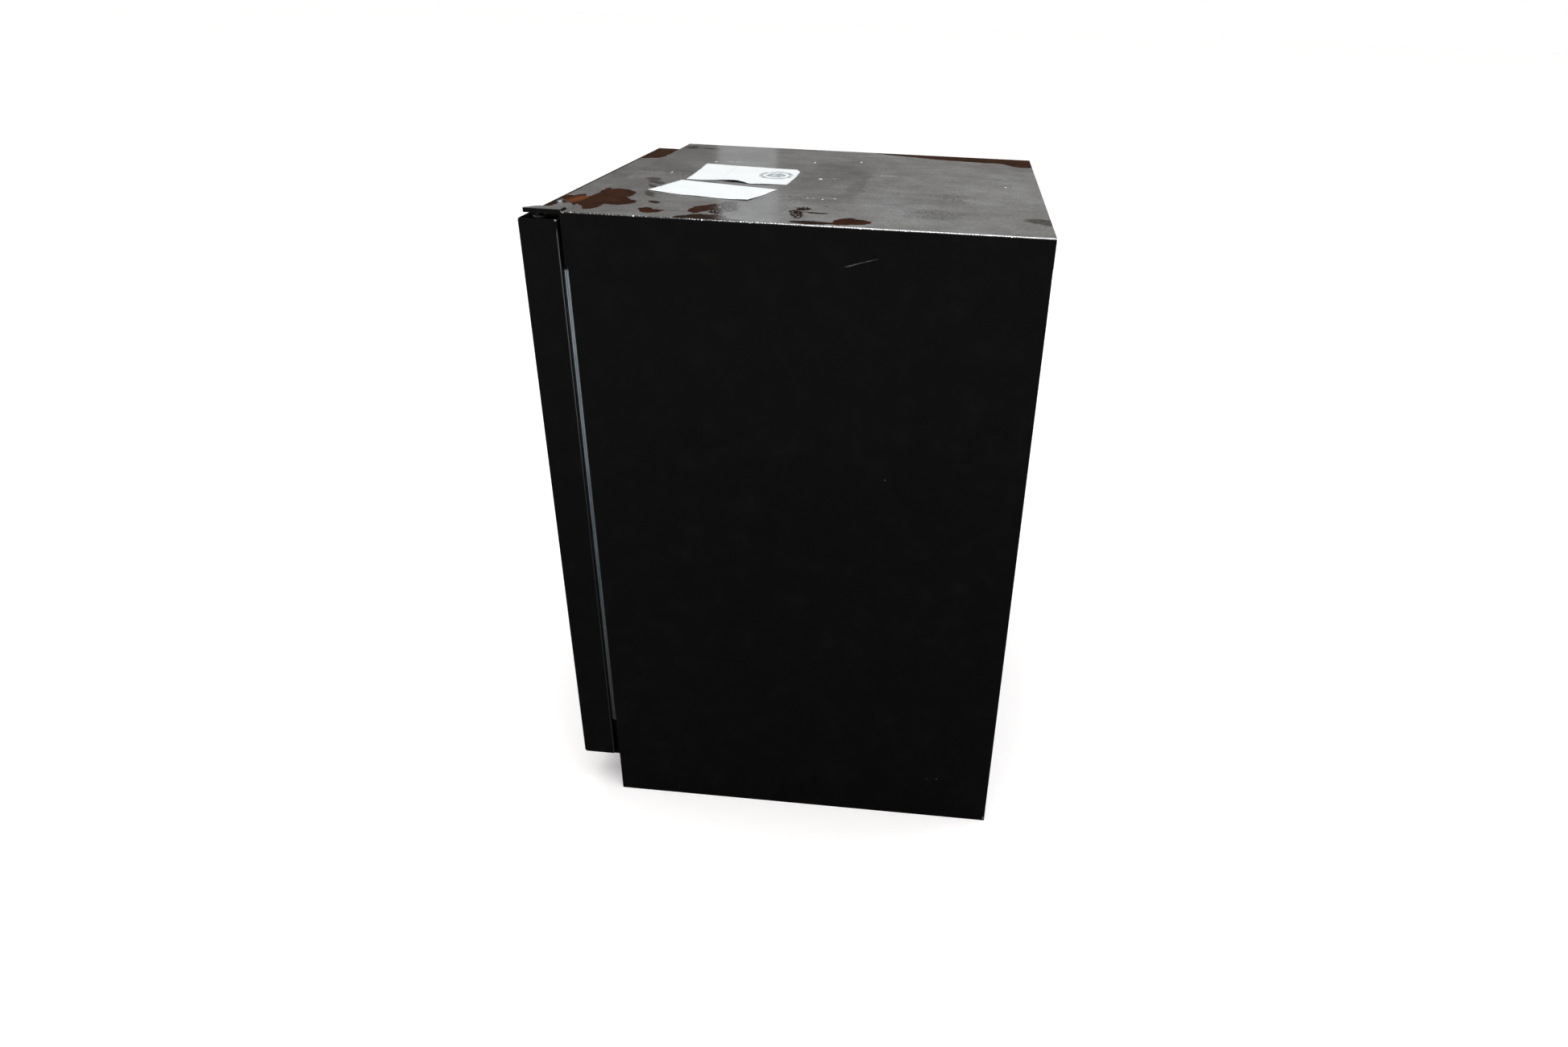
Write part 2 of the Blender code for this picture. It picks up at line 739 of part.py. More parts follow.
def hub_bm(centre, axis, fan, bore):
    """A fan's hub, whose bore faces along -axis."""
    half, edge = fan["deep"] / 2, 0.002
    profile = [
        (0, half),
        (fan["hub"] - edge, half),
        (fan["hub"], half - edge),
        (fan["hub"], -half),
        (bore, -half),
        (bore, 0),
        (0, 0),
    ]
    return turned_bm(profile, axis, centre, ROUND)


def blades_bm(centre, axis, fan):
    """A fan's pitched blades, which start inside its hub."""
    bm = bmesh.new()
    frame = Vector((0, 0, 1)).rotation_difference(Vector(axis)).to_matrix().to_4x4()
    place = Matrix.Translation(Vector(centre)) @ frame
    root, steps, thick = fan["hub"] - 0.003, 4, 0.0012
    rise = fan["deep"] * 0.36
    for blade in range(fan["count"]):
        turn = 2 * math.pi * blade / fan["count"]
        lattice = []
        for i in range(steps + 1):
            share = i / steps
            radius = root + (fan["tip"] - root) * share
            sweep = 0.25 * share
            width = math.radians(34) * (1 - 0.15 * share)
            row = []
            for edge in (-1, 1):
                angle = turn + sweep + edge * width / 2
                row.append((radius * math.cos(angle), radius * math.sin(angle), edge * rise))
            lattice.append(row)
        top, low = [], []
        for row in lattice:
            top.append([bm.verts.new(place @ Vector((x, y, z + thick / 2))) for x, y, z in row])
            low.append([bm.verts.new(place @ Vector((x, y, z - thick / 2))) for x, y, z in row])
        for i in range(steps):
            bm.faces.new((top[i][0], top[i][1], top[i + 1][1], top[i + 1][0]))
            bm.faces.new((low[i][1], low[i][0], low[i + 1][0], low[i + 1][1]))
            for k in (0, 1):
                bm.faces.new((top[i][k], top[i + 1][k], low[i + 1][k], low[i][k]))
        bm.faces.new((top[0][0], low[0][0], low[0][1], top[0][1]))
        bm.faces.new((top[-1][0], top[-1][1], low[-1][1], low[-1][0]))
    bmesh.ops.triangulate(bm, faces=bm.faces)
    bmesh.ops.recalc_face_normals(bm, faces=bm.faces)
    return bm


def evaporator_fan():
    """Square fan frame with its motor on three struts, and the blade in front of it."""
    front, rear, half = 0.2205, 0.2450, 0.046
    z = EVAPORATOR_FAN_Z
    frame_bm = box_bm((-half, front, z - half), (half, rear, z + half))
    frame = solid("evaporator_fan_frame", frame_bm, black_plastic())
    shape_with(frame, rod_bm((0, (front + rear) / 2, z), (0, 1, 0), half - 0.0035, 0.06, 32))
    spider = rod_bm((0, rear - 0.0035, z), (0, 1, 0), 0.016, 0.007)
    shape_with(frame, spider, "UNION")
    for turn in range(3):
        strut = box_bm((0.010, rear - 0.004, -0.003), (0.0445, rear - 0.001, 0.003))
        spin = Matrix.Rotation(math.radians(120 * turn + 90), 4, "Y")
        bmesh.ops.transform(strut, matrix=Matrix.Translation((0, 0, z)) @ spin, verts=strut.verts)
        shape_with(frame, strut, "UNION")
    shaft = rod_bm((0, rear - 0.0100, z), (0, 1, 0), 0.0015, 0.009, 12)
    shape_with(frame, shaft, "UNION")
    centre, axis = (0, 0.2300, z), (0, -1, 0)
    hub = hub_bm(centre, axis, EVAPORATOR_FAN, 0.0022)
    blade = solid("evaporator_fan_blade", hub, black_plastic(), origin=centre, smooth=True)
    shape_with(blade, blades_bm(centre, axis, EVAPORATOR_FAN), "UNION")


def compressor():
    """Hermetic compressor: welded shell, foot plate on four rubber grommets, start relay."""
    x, y = COMPRESSOR
    profile = [
        (0, 0.0330),
        (0.038, 0.0345),
        (0.052, 0.0430),
        (0.060, 0.0580),
        (0.062, 0.0800),
        (0.062, 0.1290),
        (0.0645, 0.1300),
        (0.0645, 0.1335),
        (0.062, 0.1345),
        (0.061, 0.1600),
        (0.055, 0.1820),
        (0.042, 0.1960),
        (0.022, 0.2030),
        (0, 0.2045),
    ]
    solid("compressor_shell", turned_bm(profile, (0, 0, 1), (x, y, 0), 28), black_enamel(), smooth=True)
    reach_x, reach_y = 0.055, 0.052
    plate_bm = box_bm((x - 0.067, y - 0.064, 0.0300), (x + 0.067, y + 0.064, 0.0320))
    round_edges(plate_bm, 0.010, 3, lambda a, b: along(a, b, 2))
    plate = solid("compressor_feet", plate_bm, galvanised())
    holes = bmesh.new()
    places = [(x + i * reach_x, y + j * reach_y) for i in (-1, 1) for j in (-1, 1)]
    for px, py in places:
        rod_bm((px, py, 0.031), (0, 0, 1), 0.0062, 0.02, ROUND_HIDDEN, holes)
    shape_with(plate, holes)
    grommet = [
        (0.003, 0.0138),
        (0.009, 0.0138),
        (0.009, 0.0297),
        (0.0055, 0.0297),
        (0.0055, 0.0323),
        (0.008, 0.0323),
        (0.007, 0.0350),
        (0.003, 0.0350),
    ]
    for number, (px, py) in enumerate(places, start=1):
        bm = turned_bm(grommet, (0, 0, 1), (px, py, 0), ROUND_HIDDEN)
        solid(f"compressor_grommet_{number}", bm, black_rubber(), smooth=True)
    relay = box_bm((x + 0.0630, y - 0.018, 0.085), (x + 0.086, y + 0.018, 0.125))
    round_edges(relay, 0.002, 2, lambda a, b: min(a.x, b.x) > x + 0.08)
    solid("start_relay", relay, black_plastic())


def condenser_coil():
    """Three serpentine layers of tube through two end plates, and the tail to the filter drier."""
    near, far, low, rise, passes = 0.178, 0.282, 0.040, 0.0290, 6
    corners = []
    layers = (-0.160, -0.210)
    for layer, x in enumerate(layers):
        for i in range(passes):
            row = passes - 1 - i if layer % 2 == 0 else i
            z = low + rise * row
            forward = (i + layer * passes) % 2 == 0
            ends = (near, far) if forward else (far, near)
            corners += [(x, ends[0], z), (x, ends[1], z)]
    x, y = FILTER
    corners += [(x, corners[-1][1], low), (x, y, low), (x, y, FILTER_LOW - CLEAR)]
    route = rounded_route(corners, rise / 2 - 0.0001)
    obj = solid("condenser_coil", tube_bm(route, 0.0032), black_enamel(), smooth=True)
    plates = []
    for y in (0.198, 0.262):
        plates.append(((-0.236, y - 0.0006, PAN_FLOOR + CLEAR), (-0.152, y + 0.0006, 0.200)))
    shape_with(obj, boxes_bm(plates), "UNION")
    return obj


def filter_drier():
    """Copper canister between the condenser and the evaporator."""
    profile = [
        (0, FILTER_LOW),
        (0.0035, FILTER_LOW),
        (0.0035, 0.0680),
        (0.0100, 0.0780),
        (0.0100, 0.1480),
        (0.0030, 0.1580),
        (0.0030, 0.1680),
        (0, 0.1680),
    ]
    bm = turned_bm(profile, (0, 0, 1), (*FILTER, 0))
    return solid("filter_drier", bm, copper(), smooth=True)


def condenser_fan():
    """Shroud across the machine space, motor on three arms, and the blade in the shroud's ring."""
    y, z = FAN_CENTRE
    plate_x = -0.105
    layers = [
        (0.0010, plate_x),
        (0.0010, plate_x - 0.009),
        (0, plate_x - 0.009),
        (0, plate_x + 0.001),
    ]
    sides = (0.165, 0.2945, PAN_FLOOR + CLEAR, 0.222)
    shroud = solid("condenser_shroud", loft_bm("YZ", sides, layers), galvanised())
    shape_with(shroud, rod_bm((plate_x, y, z), (1, 0, 0), 0.058, 0.03, 40))
    body, arm_x = -0.085, -0.0885
    profile = [
        (0, body),
        (0.026, body),
        (0.028, body + 0.003),
        (0.028, -0.045),
        (0.020, -0.040),
        (0, -0.040),
    ]
    motor_bm = turned_bm(profile, (1, 0, 0), (0, y, z))
    motor = solid("condenser_fan_motor", motor_bm, black_enamel(), smooth=True)
    for turn in range(3):
        spin = Matrix.Translation((0, y, z)) @ Matrix.Rotation(math.radians(120 * turn + 90), 4, "X")
        arm = box_bm((arm_x, -0.005, 0.018), (arm_x + 0.006, 0.005, 0.0665))
        bmesh.ops.transform(arm, matrix=spin, verts=arm.verts)
        shape_with(motor, arm, "UNION")
        leg = box_bm((plate_x + 0.0013, -0.005, 0.0620), (arm_x + 0.004, 0.005, 0.0665))
        bmesh.ops.transform(leg, matrix=spin, verts=leg.verts)
        shape_with(motor, leg, "UNION")
    shape_with(motor, rod_bm((body - 0.006, y, z), (1, 0, 0), 0.0025, 0.018, 12), "UNION")
    centre, axis = (plate_x + 0.001, y, z), (-1, 0, 0)
    hub = hub_bm(centre, axis, CONDENSER_FAN, 0.0032)
    blade = solid("condenser_fan_blade", hub, black_plastic(), origin=centre, smooth=True)
    shape_with(blade, blades_bm(centre, axis, CONDENSER_FAN), "UNION")


def refrigerant_lines():
    """The suction line down from the evaporator, and the discharge line to the condenser."""
    suction = [
        (RISER_X, 0.2655, RISER_Z),
        (RISER_X, 0.2920, RISER_Z),
        (RISER_X, 0.2920, 0.2380),
        (0.060, 0.2920, 0.2380),
        (0.060, 0.2700, 0.2380),
        (0.060, 0.2500, 0.150),
        (0.0860, 0.2400, 0.150),
    ]
    route = rounded_route(suction, 0.015)
    solid("suction_line", tube_bm(route, 0.004), copper(), smooth=True)
    discharge = [
        (0.0860, 0.2180, 0.110),
        (0.062, 0.205, 0.110),
        (0.062, 0.178, 0.130),
        (0.062, 0.178, 0.2290),
        (-0.160, 0.178, 0.2290),
        (-0.160, 0.178, 0.1925),
    ]
    route = rounded_route(discharge, 0.012)
    solid("discharge_line", tube_bm(route, 0.003), copper(), smooth=True)


def drain_parts():
    """Tray on the base pan, and the pipe down to it from the liner."""
    floor = PAN_FLOOR + CLEAR
    layers = [
        (0.002, floor + 0.002),
        (0.002, floor + 0.034),
        (0, floor + 0.034),
        (0, floor + 0.002),
        (0.002, floor),
    ]
    tray = loft_bm("XY", (-0.030, 0.068, 0.166, 0.296), layers, 0.008)
    solid("drain_pan", tray, black_plastic())
    bore, outer, low, high = 0.0045, 0.0060, 0.0550, HUMP_TOP + 0.002
    profile = [(bore, low), (outer, low), (outer, high), (bore, high)]
    bm = turned_bm(profile, (0, 0, 1), (*DRAIN, 0))
    solid("drain_tube", bm, grey_plastic(), smooth=True)


def rear_cover():
    """Dished steel cover over the machine space, with air slots and a hole for the cord gland."""
    layers = [
        (0.0122, BACK - 0.0068),
        (0.0122, BACK - 0.0013),
        (0, BACK - 0.0013),
        (0, BACK - 0.0025),
        (0.0110, BACK - 0.0025),
        (0.0110, BACK - 0.0080),
    ]
    bm = loft_bm("XZ", (-PANEL_HALF, PANEL_HALF, 0.0005, COVER_TOP), layers)
    obj = solid("rear_cover", bm, galvanised())
    slots = []
    count, pitch, wide, tall = 14, 0.034, 0.008, 0.060
    for low in (0.052, 0.134):
        for i in range(count):
            x = (i - (count - 1) / 2) * pitch
            slots.append(((x - wide / 2, BACK - 0.02, low), (x + wide / 2, BACK + 0.01, low + tall)))
    shape_with(obj, boxes_bm(slots))
    x, z = GLAND
    shape_with(obj, rod_bm((x, BACK - 0.0074, z), (0, 1, 0), 0.0085, 0.01))
    return obj


def cord_gland():
    """Bush in the rear cover, through which the power cord passes."""
    profile = [
        (0.0045, -0.012),
        (0.0070, -0.012),
        (0.0080, -0.010),
        (0.0080, CLEAR * 2),
        (0.0110, CLEAR * 2),
        (0.0110, 0.0030),
        (0.0095, 0.0060),
        (0.0045, 0.0060),
    ]
    x, z = GLAND
    bm = turned_bm(profile, (0, 1, 0), (x, BACK - 0.0070, z))
    return solid("cord_gland", bm, black_rubber(), smooth=True)


# Door ----------------------------------------------------------------------------------------


def edge_inset(radius, depth):
    """How far a rounded edge of a radius stands in at a depth behind the face."""
    if depth >= radius:
        return 0.0
    return radius - math.sqrt(radius**2 - (radius - depth) ** 2)


def door_shell(pivot):
    """Folded door skin: front, four sides and hems round the back. The bottom edge is rounder."""
    side_edge, low_edge, hem_edge, hem = 0.0015, 0.0045, 0.0025, 0.018
    sides = (-HALF, HALF, DOOR_LOW, DOOR_HIGH)
    layers = []
    for depth in (SHEET, 0.0015, 0.0025, 0.0035, low_edge):
        low = edge_inset(low_edge - SHEET, depth - SHEET)
        layers.append(((SHEET, SHEET + low, SHEET), FRONT + depth))
    layers.append((SHEET, DOOR_BACK - SHEET))
    layers.append((hem, DOOR_BACK - SHEET))
    layers.append((hem, DOOR_BACK))
    steps = 3
    for step in range(steps + 1):
        angle = math.radians(90 * step / steps)
        inset = hem_edge * (1 - math.sin(angle))
        layers.append((inset, DOOR_BACK - hem_edge * (1 - math.cos(angle))))
    for depth in (low_edge, 0.0030, side_edge, 0.0007, 0.0002, 0.0):
        side = edge_inset(side_edge, depth)
        low = edge_inset(low_edge, depth)
        layers.append(((side, low, side), FRONT + depth))
    obj = solid("door_shell", loft_bm("XZ", sides, layers), black_paint(), parent=pivot)
    for z in (DOOR_LOW, DOOR_HIGH):
        shape_with(obj, bushing_hole_bm(z, 0.006))
    shape_with(obj, screw_hole_bm(0.006))
    return obj


def bushing_hole_bm(z, tall):
    """The space round a hinge bushing at one edge of the door."""
    return rod_bm((AXIS_X, AXIS_Y, z), (0, 0, 1), BUSHING_RADIUS + CLEAR, tall)


def screw_hole_bm(tall):
    return rod_bm((*DOOR_SCREW, DOOR_HIGH), (0, 0, 1), 0.0026, tall)


def door_foam(pivot):
    low = (-INSIDE + CLEAR, FRONT + SHEET + CLEAR, DOOR_LOW + SHEET + CLEAR)
    high = (INSIDE - CLEAR, DOOR_BACK - 0.0033, DOOR_HIGH - SHEET - CLEAR)
    bm = box_bm(low, high)
    round_edges(bm, 0.004, 2, lambda a, b: along(a, b, 0) and a.z < 0.1 and a.y < FRONT + 0.01)
    obj = solid("door_foam", bm, foam(), parent=pivot)
    for z in (DOOR_LOW, DOOR_HIGH):
        shape_with(obj, bushing_hole_bm(z, 0.044))
    shape_with(obj, screw_hole_bm(0.040))
    return obj


def door_liner(pivot):
    """White moulded inside of the door: a plate under the hems, and a ring that holds the bins."""
    ring = (0.0535, 0.1085, 0.1090)
    wall, floor, rim = 0.017, DOOR_BACK, -0.222

    def grown(extra):
        return tuple(value + extra for value in ring)

    layers = [
        (grown(wall), floor),
        (grown(wall), rim - 0.003),
        (grown(wall - 0.002), rim),
        (grown(0.003), rim),
        (grown(0), rim - 0.004),
        (grown(0), DOOR_BACK - SHEET - CLEAR),
        (0, DOOR_BACK - SHEET - CLEAR),
        (0, DOOR_BACK - 0.003),
    ]
    edge = 0.0045
    sides = (-HALF + edge, HALF - edge, DOOR_LOW + edge, DOOR_HIGH - edge)
    obj = solid("door_liner", loft_bm("XZ", sides, layers), white_plastic(), parent=pivot)
    rests = []
    for level in BIN_LEVELS:
        top = level - CLEAR
        for side in (-1, 1):
            ends = sorted((side * 0.214, side * 0.232))
            rests.append(((ends[0], -0.2590, top - 0.008), (ends[1], -0.2300, top)))
    shape_with(obj, boxes_bm(rests), "UNION")
    return obj


def door_gasket(pivot):
    """Magnetic gasket: a soft frame whose outer corner is round, so that it rolls clear."""
    base, seal = DOOR_BACK + CLEAR, FACE - 0.0005
    outer, inner = 0.003, 0.002
    profile = [(GASKET_WIDTH - 0.002, base), (0.002, base), (0.0006, base + 0.001)]
    for step in range(5):
        angle = math.radians(90 * step / 4)
        profile.append((outer * (1 - math.cos(angle)), seal - outer * (1 - math.sin(angle))))
    for step in range(4):
        angle = math.radians(90 * step / 3)
        inset = GASKET_WIDTH - inner + inner * math.sin(angle)
        profile.append((inset, seal - inner * (1 - math.cos(angle))))
    sides = (-GASKET_HALF, GASKET_HALF, GASKET_LOW, GASKET_HIGH)
    bm = loft_bm("XZ", sides, profile, capped=False)
    return solid("door_gasket", bm, gasket_rubber(), parent=pivot)


def door_bins(pivot):
    """Three bins that hang in the door's ring."""
    wall, tall, half, front, rear = 0.002, 0.080, 0.226, DOOR_BACK + 0.0005, -0.165
    for number, level in enumerate(BIN_LEVELS, start=1):
        layers = [
            (wall, level + 0.003),
            (wall, level + tall),
            (0, level + tall),
            (0, level),
        ]
        bm = loft_bm("XY", (-half, half, front, rear), layers, 0.002, steps=2)
        solid(f"door_bin_{number}", bm, clear_plastic(), parent=pivot)


def hinge_bushings(pivot):
    """Plastic bushings in the door's top and bottom edges, round the hinge pins."""
    bore, outer, collar = PIN_RADIUS + CLEAR, BUSHING_RADIUS, 0.0085
    low, high = 0.8365, DOOR_HIGH + 0.003
    upper = [
        (bore, low),
        (outer, low),
        (outer, DOOR_HIGH + CLEAR),
        (collar, DOOR_HIGH + CLEAR),
        (collar, high),
        (bore, high),
    ]
    low, high = DOOR_LOW + 0.0002, 0.087
    lower = [(bore, low), (outer, low), (outer, high), (bore, high)]
    for name, profile in (("hinge_bushing_upper", upper), ("hinge_bushing_lower", lower)):
        bm = turned_bm(profile, (0, 0, 1), (AXIS_X, AXIS_Y, 0), 32)
        solid(name, bm, black_plastic(), parent=pivot, smooth=True)


def door_top_screw(pivot):
    """Pan-head screw in the door's top."""
    top = DOOR_HIGH + CLEAR
    profile = [
        (0, top - 0.012),
        (0.0020, top - 0.011),
        (0.0020, top),
        (0.0060, top),
        (0.0060, top + 0.0012),
        (0.0050, top + 0.0027),
        (0.0030, top + 0.0034),
        (0, top + 0.0036),
    ]
    bm = turned_bm(profile, (0, 0, 1), (*DOOR_SCREW, 0))
    solid("door_top_screw", bm, bright_steel(), parent=pivot, smooth=True)


# Hinges, legs and labels ---------------------------------------------------------------------

UPRIGHT_BACK = FACE - CLEAR  # a hinge's upright lies on the cabinet's face
UPRIGHT_FRONT = FACE - 0.0037


def top_hinge():
    """Angle bracket with a round bend. Its upright is on the cabinet's face, its pin in the door."""
    low, high, inner, outer, tip = 0.802, HINGE_PLATE_HIGH, 0.2850, 0.3025, -0.3005
    thick, bend = 0.005, 0.004
    outline = [(tip, high - thick), (tip, high)]
    for step in range(5):
        angle = math.radians(90 * step / 4)
        y = UPRIGHT_BACK - bend + bend * math.sin(angle)
        outline.append((y, high - bend + bend * math.cos(angle)))
    outline += [(UPRIGHT_BACK, low), (UPRIGHT_FRONT, low), (UPRIGHT_FRONT, high - thick)]
    obj = solid("top_hinge", prism_bm(outline, "YZ", inner, outer), black_paint())
    plan = [
        (outer + 0.01, 0),
        (outer + 0.01, tip + 0.0015),
        (outer, tip + 0.0015),
        (outer - 0.0012, tip),
        (0.2990, tip),
        (0.2950, -0.2960),
        (0.2880, -0.2905),
        (0.2853, -0.2860),
        (inner - 0.001, -0.2790),
        (inner - 0.001, 0),
    ]
    shape_with(obj, prism_bm(plan, "XY", low - 0.01, high + 0.01), "INTERSECT")
    shape_with(obj, pin_bm(0.8375, high - 0.002), "UNION")
    return obj


def pin_bm(low, high):
    """A hinge pin on the door's axis."""
    return rod_bm((AXIS_X, AXIS_Y, (low + high) / 2), (0, 0, 1), PIN_RADIUS, high - low, 32)


def bottom_hinge():
    """Angle bracket under the door, with its pin up into the door."""
    low, high, inner, outer, tip = 0.0632, 0.122, 0.2805, 0.2975, -0.2925
    thick = 0.003
    outline = [
        (tip, low),
        (UPRIGHT_BACK, low),
        (UPRIGHT_BACK, high),
        (UPRIGHT_FRONT, high),
        (UPRIGHT_FRONT, low + thick),
        (tip, low + thick),
    ]
    obj = solid("bottom_hinge", prism_bm(outline, "YZ", inner, outer), black_paint())
    shape_with(obj, pin_bm(low + 0.001, 0.0865), "UNION")
    return obj


def levelling_legs():
    """Threaded feet, screwed all the way in, so that the skids carry the cabinet."""
    profile = [
        (0, 0.0010),
        (0.0135, 0.0010),
        (0.0150, 0.0025),
        (0.0150, 0.0060),
        (0.0060, 0.0080),
        (0.0040, 0.0080),
        (0.0040, 0.0500),
        (0, 0.0500),
    ]
    sides = {"left": -LEG_X, "right": LEG_X}
    ends = {"front": LEG_Y[0], "rear": LEG_Y[1]}
    for end, y in ends.items():
        for side, x in sides.items():
            bm = turned_bm(profile, (0, 0, 1), (x, y, 0))
            name = f"leg_{end}_{side}"
            solid(name, bm, black_rubber(), origin=(x, y, 0), smooth=True)


def paper_label():
    """Two halves of a torn paper label, flat on the cabinet's top."""
    low = HEIGHT + CLEAR
    thick = 0.0003
    halves = {
        "label_left": [
            (-0.095, -0.1775),
            (0.043, -0.1745),
            (0.063, -0.0885),
            (0.052, -0.0335),
            (-0.061, -0.0335),
            (-0.078, -0.0395),
        ],
        "label_right": [
            (0.051, -0.1785),
            (0.142, -0.1995),
            (0.177, -0.0625),
            (0.093, -0.0405),
            (0.083, -0.1115),
        ],
    }
    for name, outline in halves.items():
        solid(name, prism_bm(outline, "XY", low, low + thick), paper())


def main():
    clear_scene()
    cabinet_wrapper()
    back_panel()
    base_pan()
    lower_front_rail()
    foam_bulkhead()
    insulation_foam()
    liner()
    kick_grille()
    control_fascia()
    display_window()
    control_buttons()
    light_lens()
    shelves()
    evaporator_cover()
    evaporator_plate()
    evaporator_tube()
    evaporator_fan()
    compressor()
    condenser_coil()
    filter_drier()
    condenser_fan()
    refrigerant_lines()
    drain_parts()
    rear_cover()
    cord_gland()
    top_hinge()
    bottom_hinge()
    levelling_legs()
    paper_label()
    pivot = bpy.data.objects.new("door_pivot", None)
    bpy.context.scene.collection.objects.link(pivot)
    pivot.location = (AXIS_X, AXIS_Y, 0)
    door_shell(pivot)
    door_foam(pivot)
    door_liner(pivot)
    door_gasket(pivot)
    door_bins(pivot)
    hinge_bushings(pivot)
    door_top_screw(pivot)


main()
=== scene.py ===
import math

import bpy
from mathutils import Matrix, Vector, noise


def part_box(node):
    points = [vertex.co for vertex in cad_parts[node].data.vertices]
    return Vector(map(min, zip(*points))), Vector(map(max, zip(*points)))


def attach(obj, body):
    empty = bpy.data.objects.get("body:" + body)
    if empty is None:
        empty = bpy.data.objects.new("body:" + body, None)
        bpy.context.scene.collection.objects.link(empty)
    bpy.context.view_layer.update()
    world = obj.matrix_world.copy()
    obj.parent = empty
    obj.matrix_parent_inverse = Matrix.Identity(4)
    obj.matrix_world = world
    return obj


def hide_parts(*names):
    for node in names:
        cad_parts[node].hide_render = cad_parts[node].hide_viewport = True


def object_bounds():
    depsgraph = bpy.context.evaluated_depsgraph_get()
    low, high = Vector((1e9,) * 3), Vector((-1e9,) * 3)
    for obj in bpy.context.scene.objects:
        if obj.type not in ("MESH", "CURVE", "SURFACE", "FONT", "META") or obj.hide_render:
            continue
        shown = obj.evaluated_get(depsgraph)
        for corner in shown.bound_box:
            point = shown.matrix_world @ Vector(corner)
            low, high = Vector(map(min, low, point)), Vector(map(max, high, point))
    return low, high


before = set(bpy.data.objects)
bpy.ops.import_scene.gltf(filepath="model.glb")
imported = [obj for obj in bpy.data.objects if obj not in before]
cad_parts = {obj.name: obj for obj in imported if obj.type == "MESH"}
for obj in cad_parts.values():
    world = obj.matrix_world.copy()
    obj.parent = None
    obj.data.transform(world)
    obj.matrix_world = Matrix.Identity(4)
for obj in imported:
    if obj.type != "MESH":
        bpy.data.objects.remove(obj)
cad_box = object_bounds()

# The looks of a black 24-inch undercounter refrigerator, in metres, in the frame of its CAD model.
# Up is +Z, the door faces -Y and its hinges are on +X.

# ---------------------------------------------------------------- sizes

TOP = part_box("cabinet_wrapper")[1].z
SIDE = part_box("cabinet_wrapper")[1].x
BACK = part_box("cabinet_wrapper")[1].y
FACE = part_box("cabinet_wrapper")[0].y
SHEET_EDGE = 0.0003  # rounding on the edges of sheet metal
MOULDED_EDGE = 0.0006  # rounding on the edges of mouldings
EDGE_SEGMENTS = 2
EDGE_ANGLE = math.radians(32)  # an edge sharper than this is rounded
WELD_DISTANCE = 0.00001
FLAT_ANGLE = math.radians(0.4)  # faces that meet flatter than this become one
# Plates with many holes, which keep the faces that they come with
PIERCED = ("evaporator_cover", "kick_grille", "rear_cover", "condenser_shroud")

SCREW_RADIUS, SCREW_HEIGHT = 0.0042, 0.0011
GRILLE_SCREW_RADIUS, GRILLE_SCREW_HEIGHT = 0.0038, 0.0012
DOOR_SCREW_SEAT, DOOR_SCREW_HEIGHT = 0.8547, 0.0030
HEAD_SINK = 0.0013  # how far a head on the rear cover sits inside the cabinet's back edge
HINGE_FACE = 0.0037  # from the cabinet's front to the face of the hinge's upright
THREAD_PITCH = 0.00175
THREAD_DEPTH = 0.0009
STEM_RADIUS = 0.0038
PAD_HEIGHT = 0.009
PAD_NOTCH = 0.0014
PAPER_THICKNESS = 0.00012
PAPER_DROP = 0.00015  # from the underside of a label's CAD block down to the paper
PAPER_HEADROOM = 0.00005  # kept between the paper and the top of the CAD model's box
PAPER_TEAR = 0.0009  # how far the torn edges wander
PAPER_RIPPLE = 0.00022
SEAL_STEP = 0.012  # between the rings of points along the door seal
SEAL_WAVE = 0.00022
SEAL_PUFF = 0.0002
BLADE_THICKNESS = 0.0014
BLADE_SWEEP = 0.30

# The camera, as the photograph's perspective gives it
CAMERA_PLACE = (1.46279, 0.19127, 1.09532)
CAMERA_RIGHT = (-0.09434981, 0.99494822, 0.03429504)
CAMERA_UP = (-0.48511853, -0.0760306, 0.87113682)
CAMERA_LENS = 23.155
CAMERA_SENSOR = 36.0
CAMERA_SHIFT = (-0.04897, 0.02183)

# Where the dusty paint changes: each pair is where a change starts and where it is complete
TOP_LEVEL = (0.840, 0.850)  # z above which a face is one of the tops
FAR_BEND = (-0.3000, -0.2990)  # x of the bend on the far side
HINGE_SHADE = (0.246, 0.262)  # x of the painted shade under the hinge plate
HINGE_UNDERSIDE = (0.857, 0.860)  # z of the hinge plate's lower face
LIP = (-0.3038, -0.3028)  # y of the stain along the door's front edge
LIP_END = (0.185, 0.200)  # x where that stain stops
PALER_TOWARDS_BACK = (-0.31, 0.22)  # y over which the top's dusty film grows paler towards the back
HEM = -0.2612  # y of the door's rear hem
HEM_HIGHLIGHT_HALF = (0.0007, 0.0021)  # from the hem's middle to where its painted highlight ends
LABEL_CREASE = -0.1292  # y of the crease across the far label
LABEL_CREASE_END = (0.015, 0.017)  # x where that crease stops

# Each patch below is an ellipse on the top: x, y, half length, half width, turn
RING_MARK = [
    (-0.0215, -0.0612, 0.0330, 0.0250, 0.0),
]
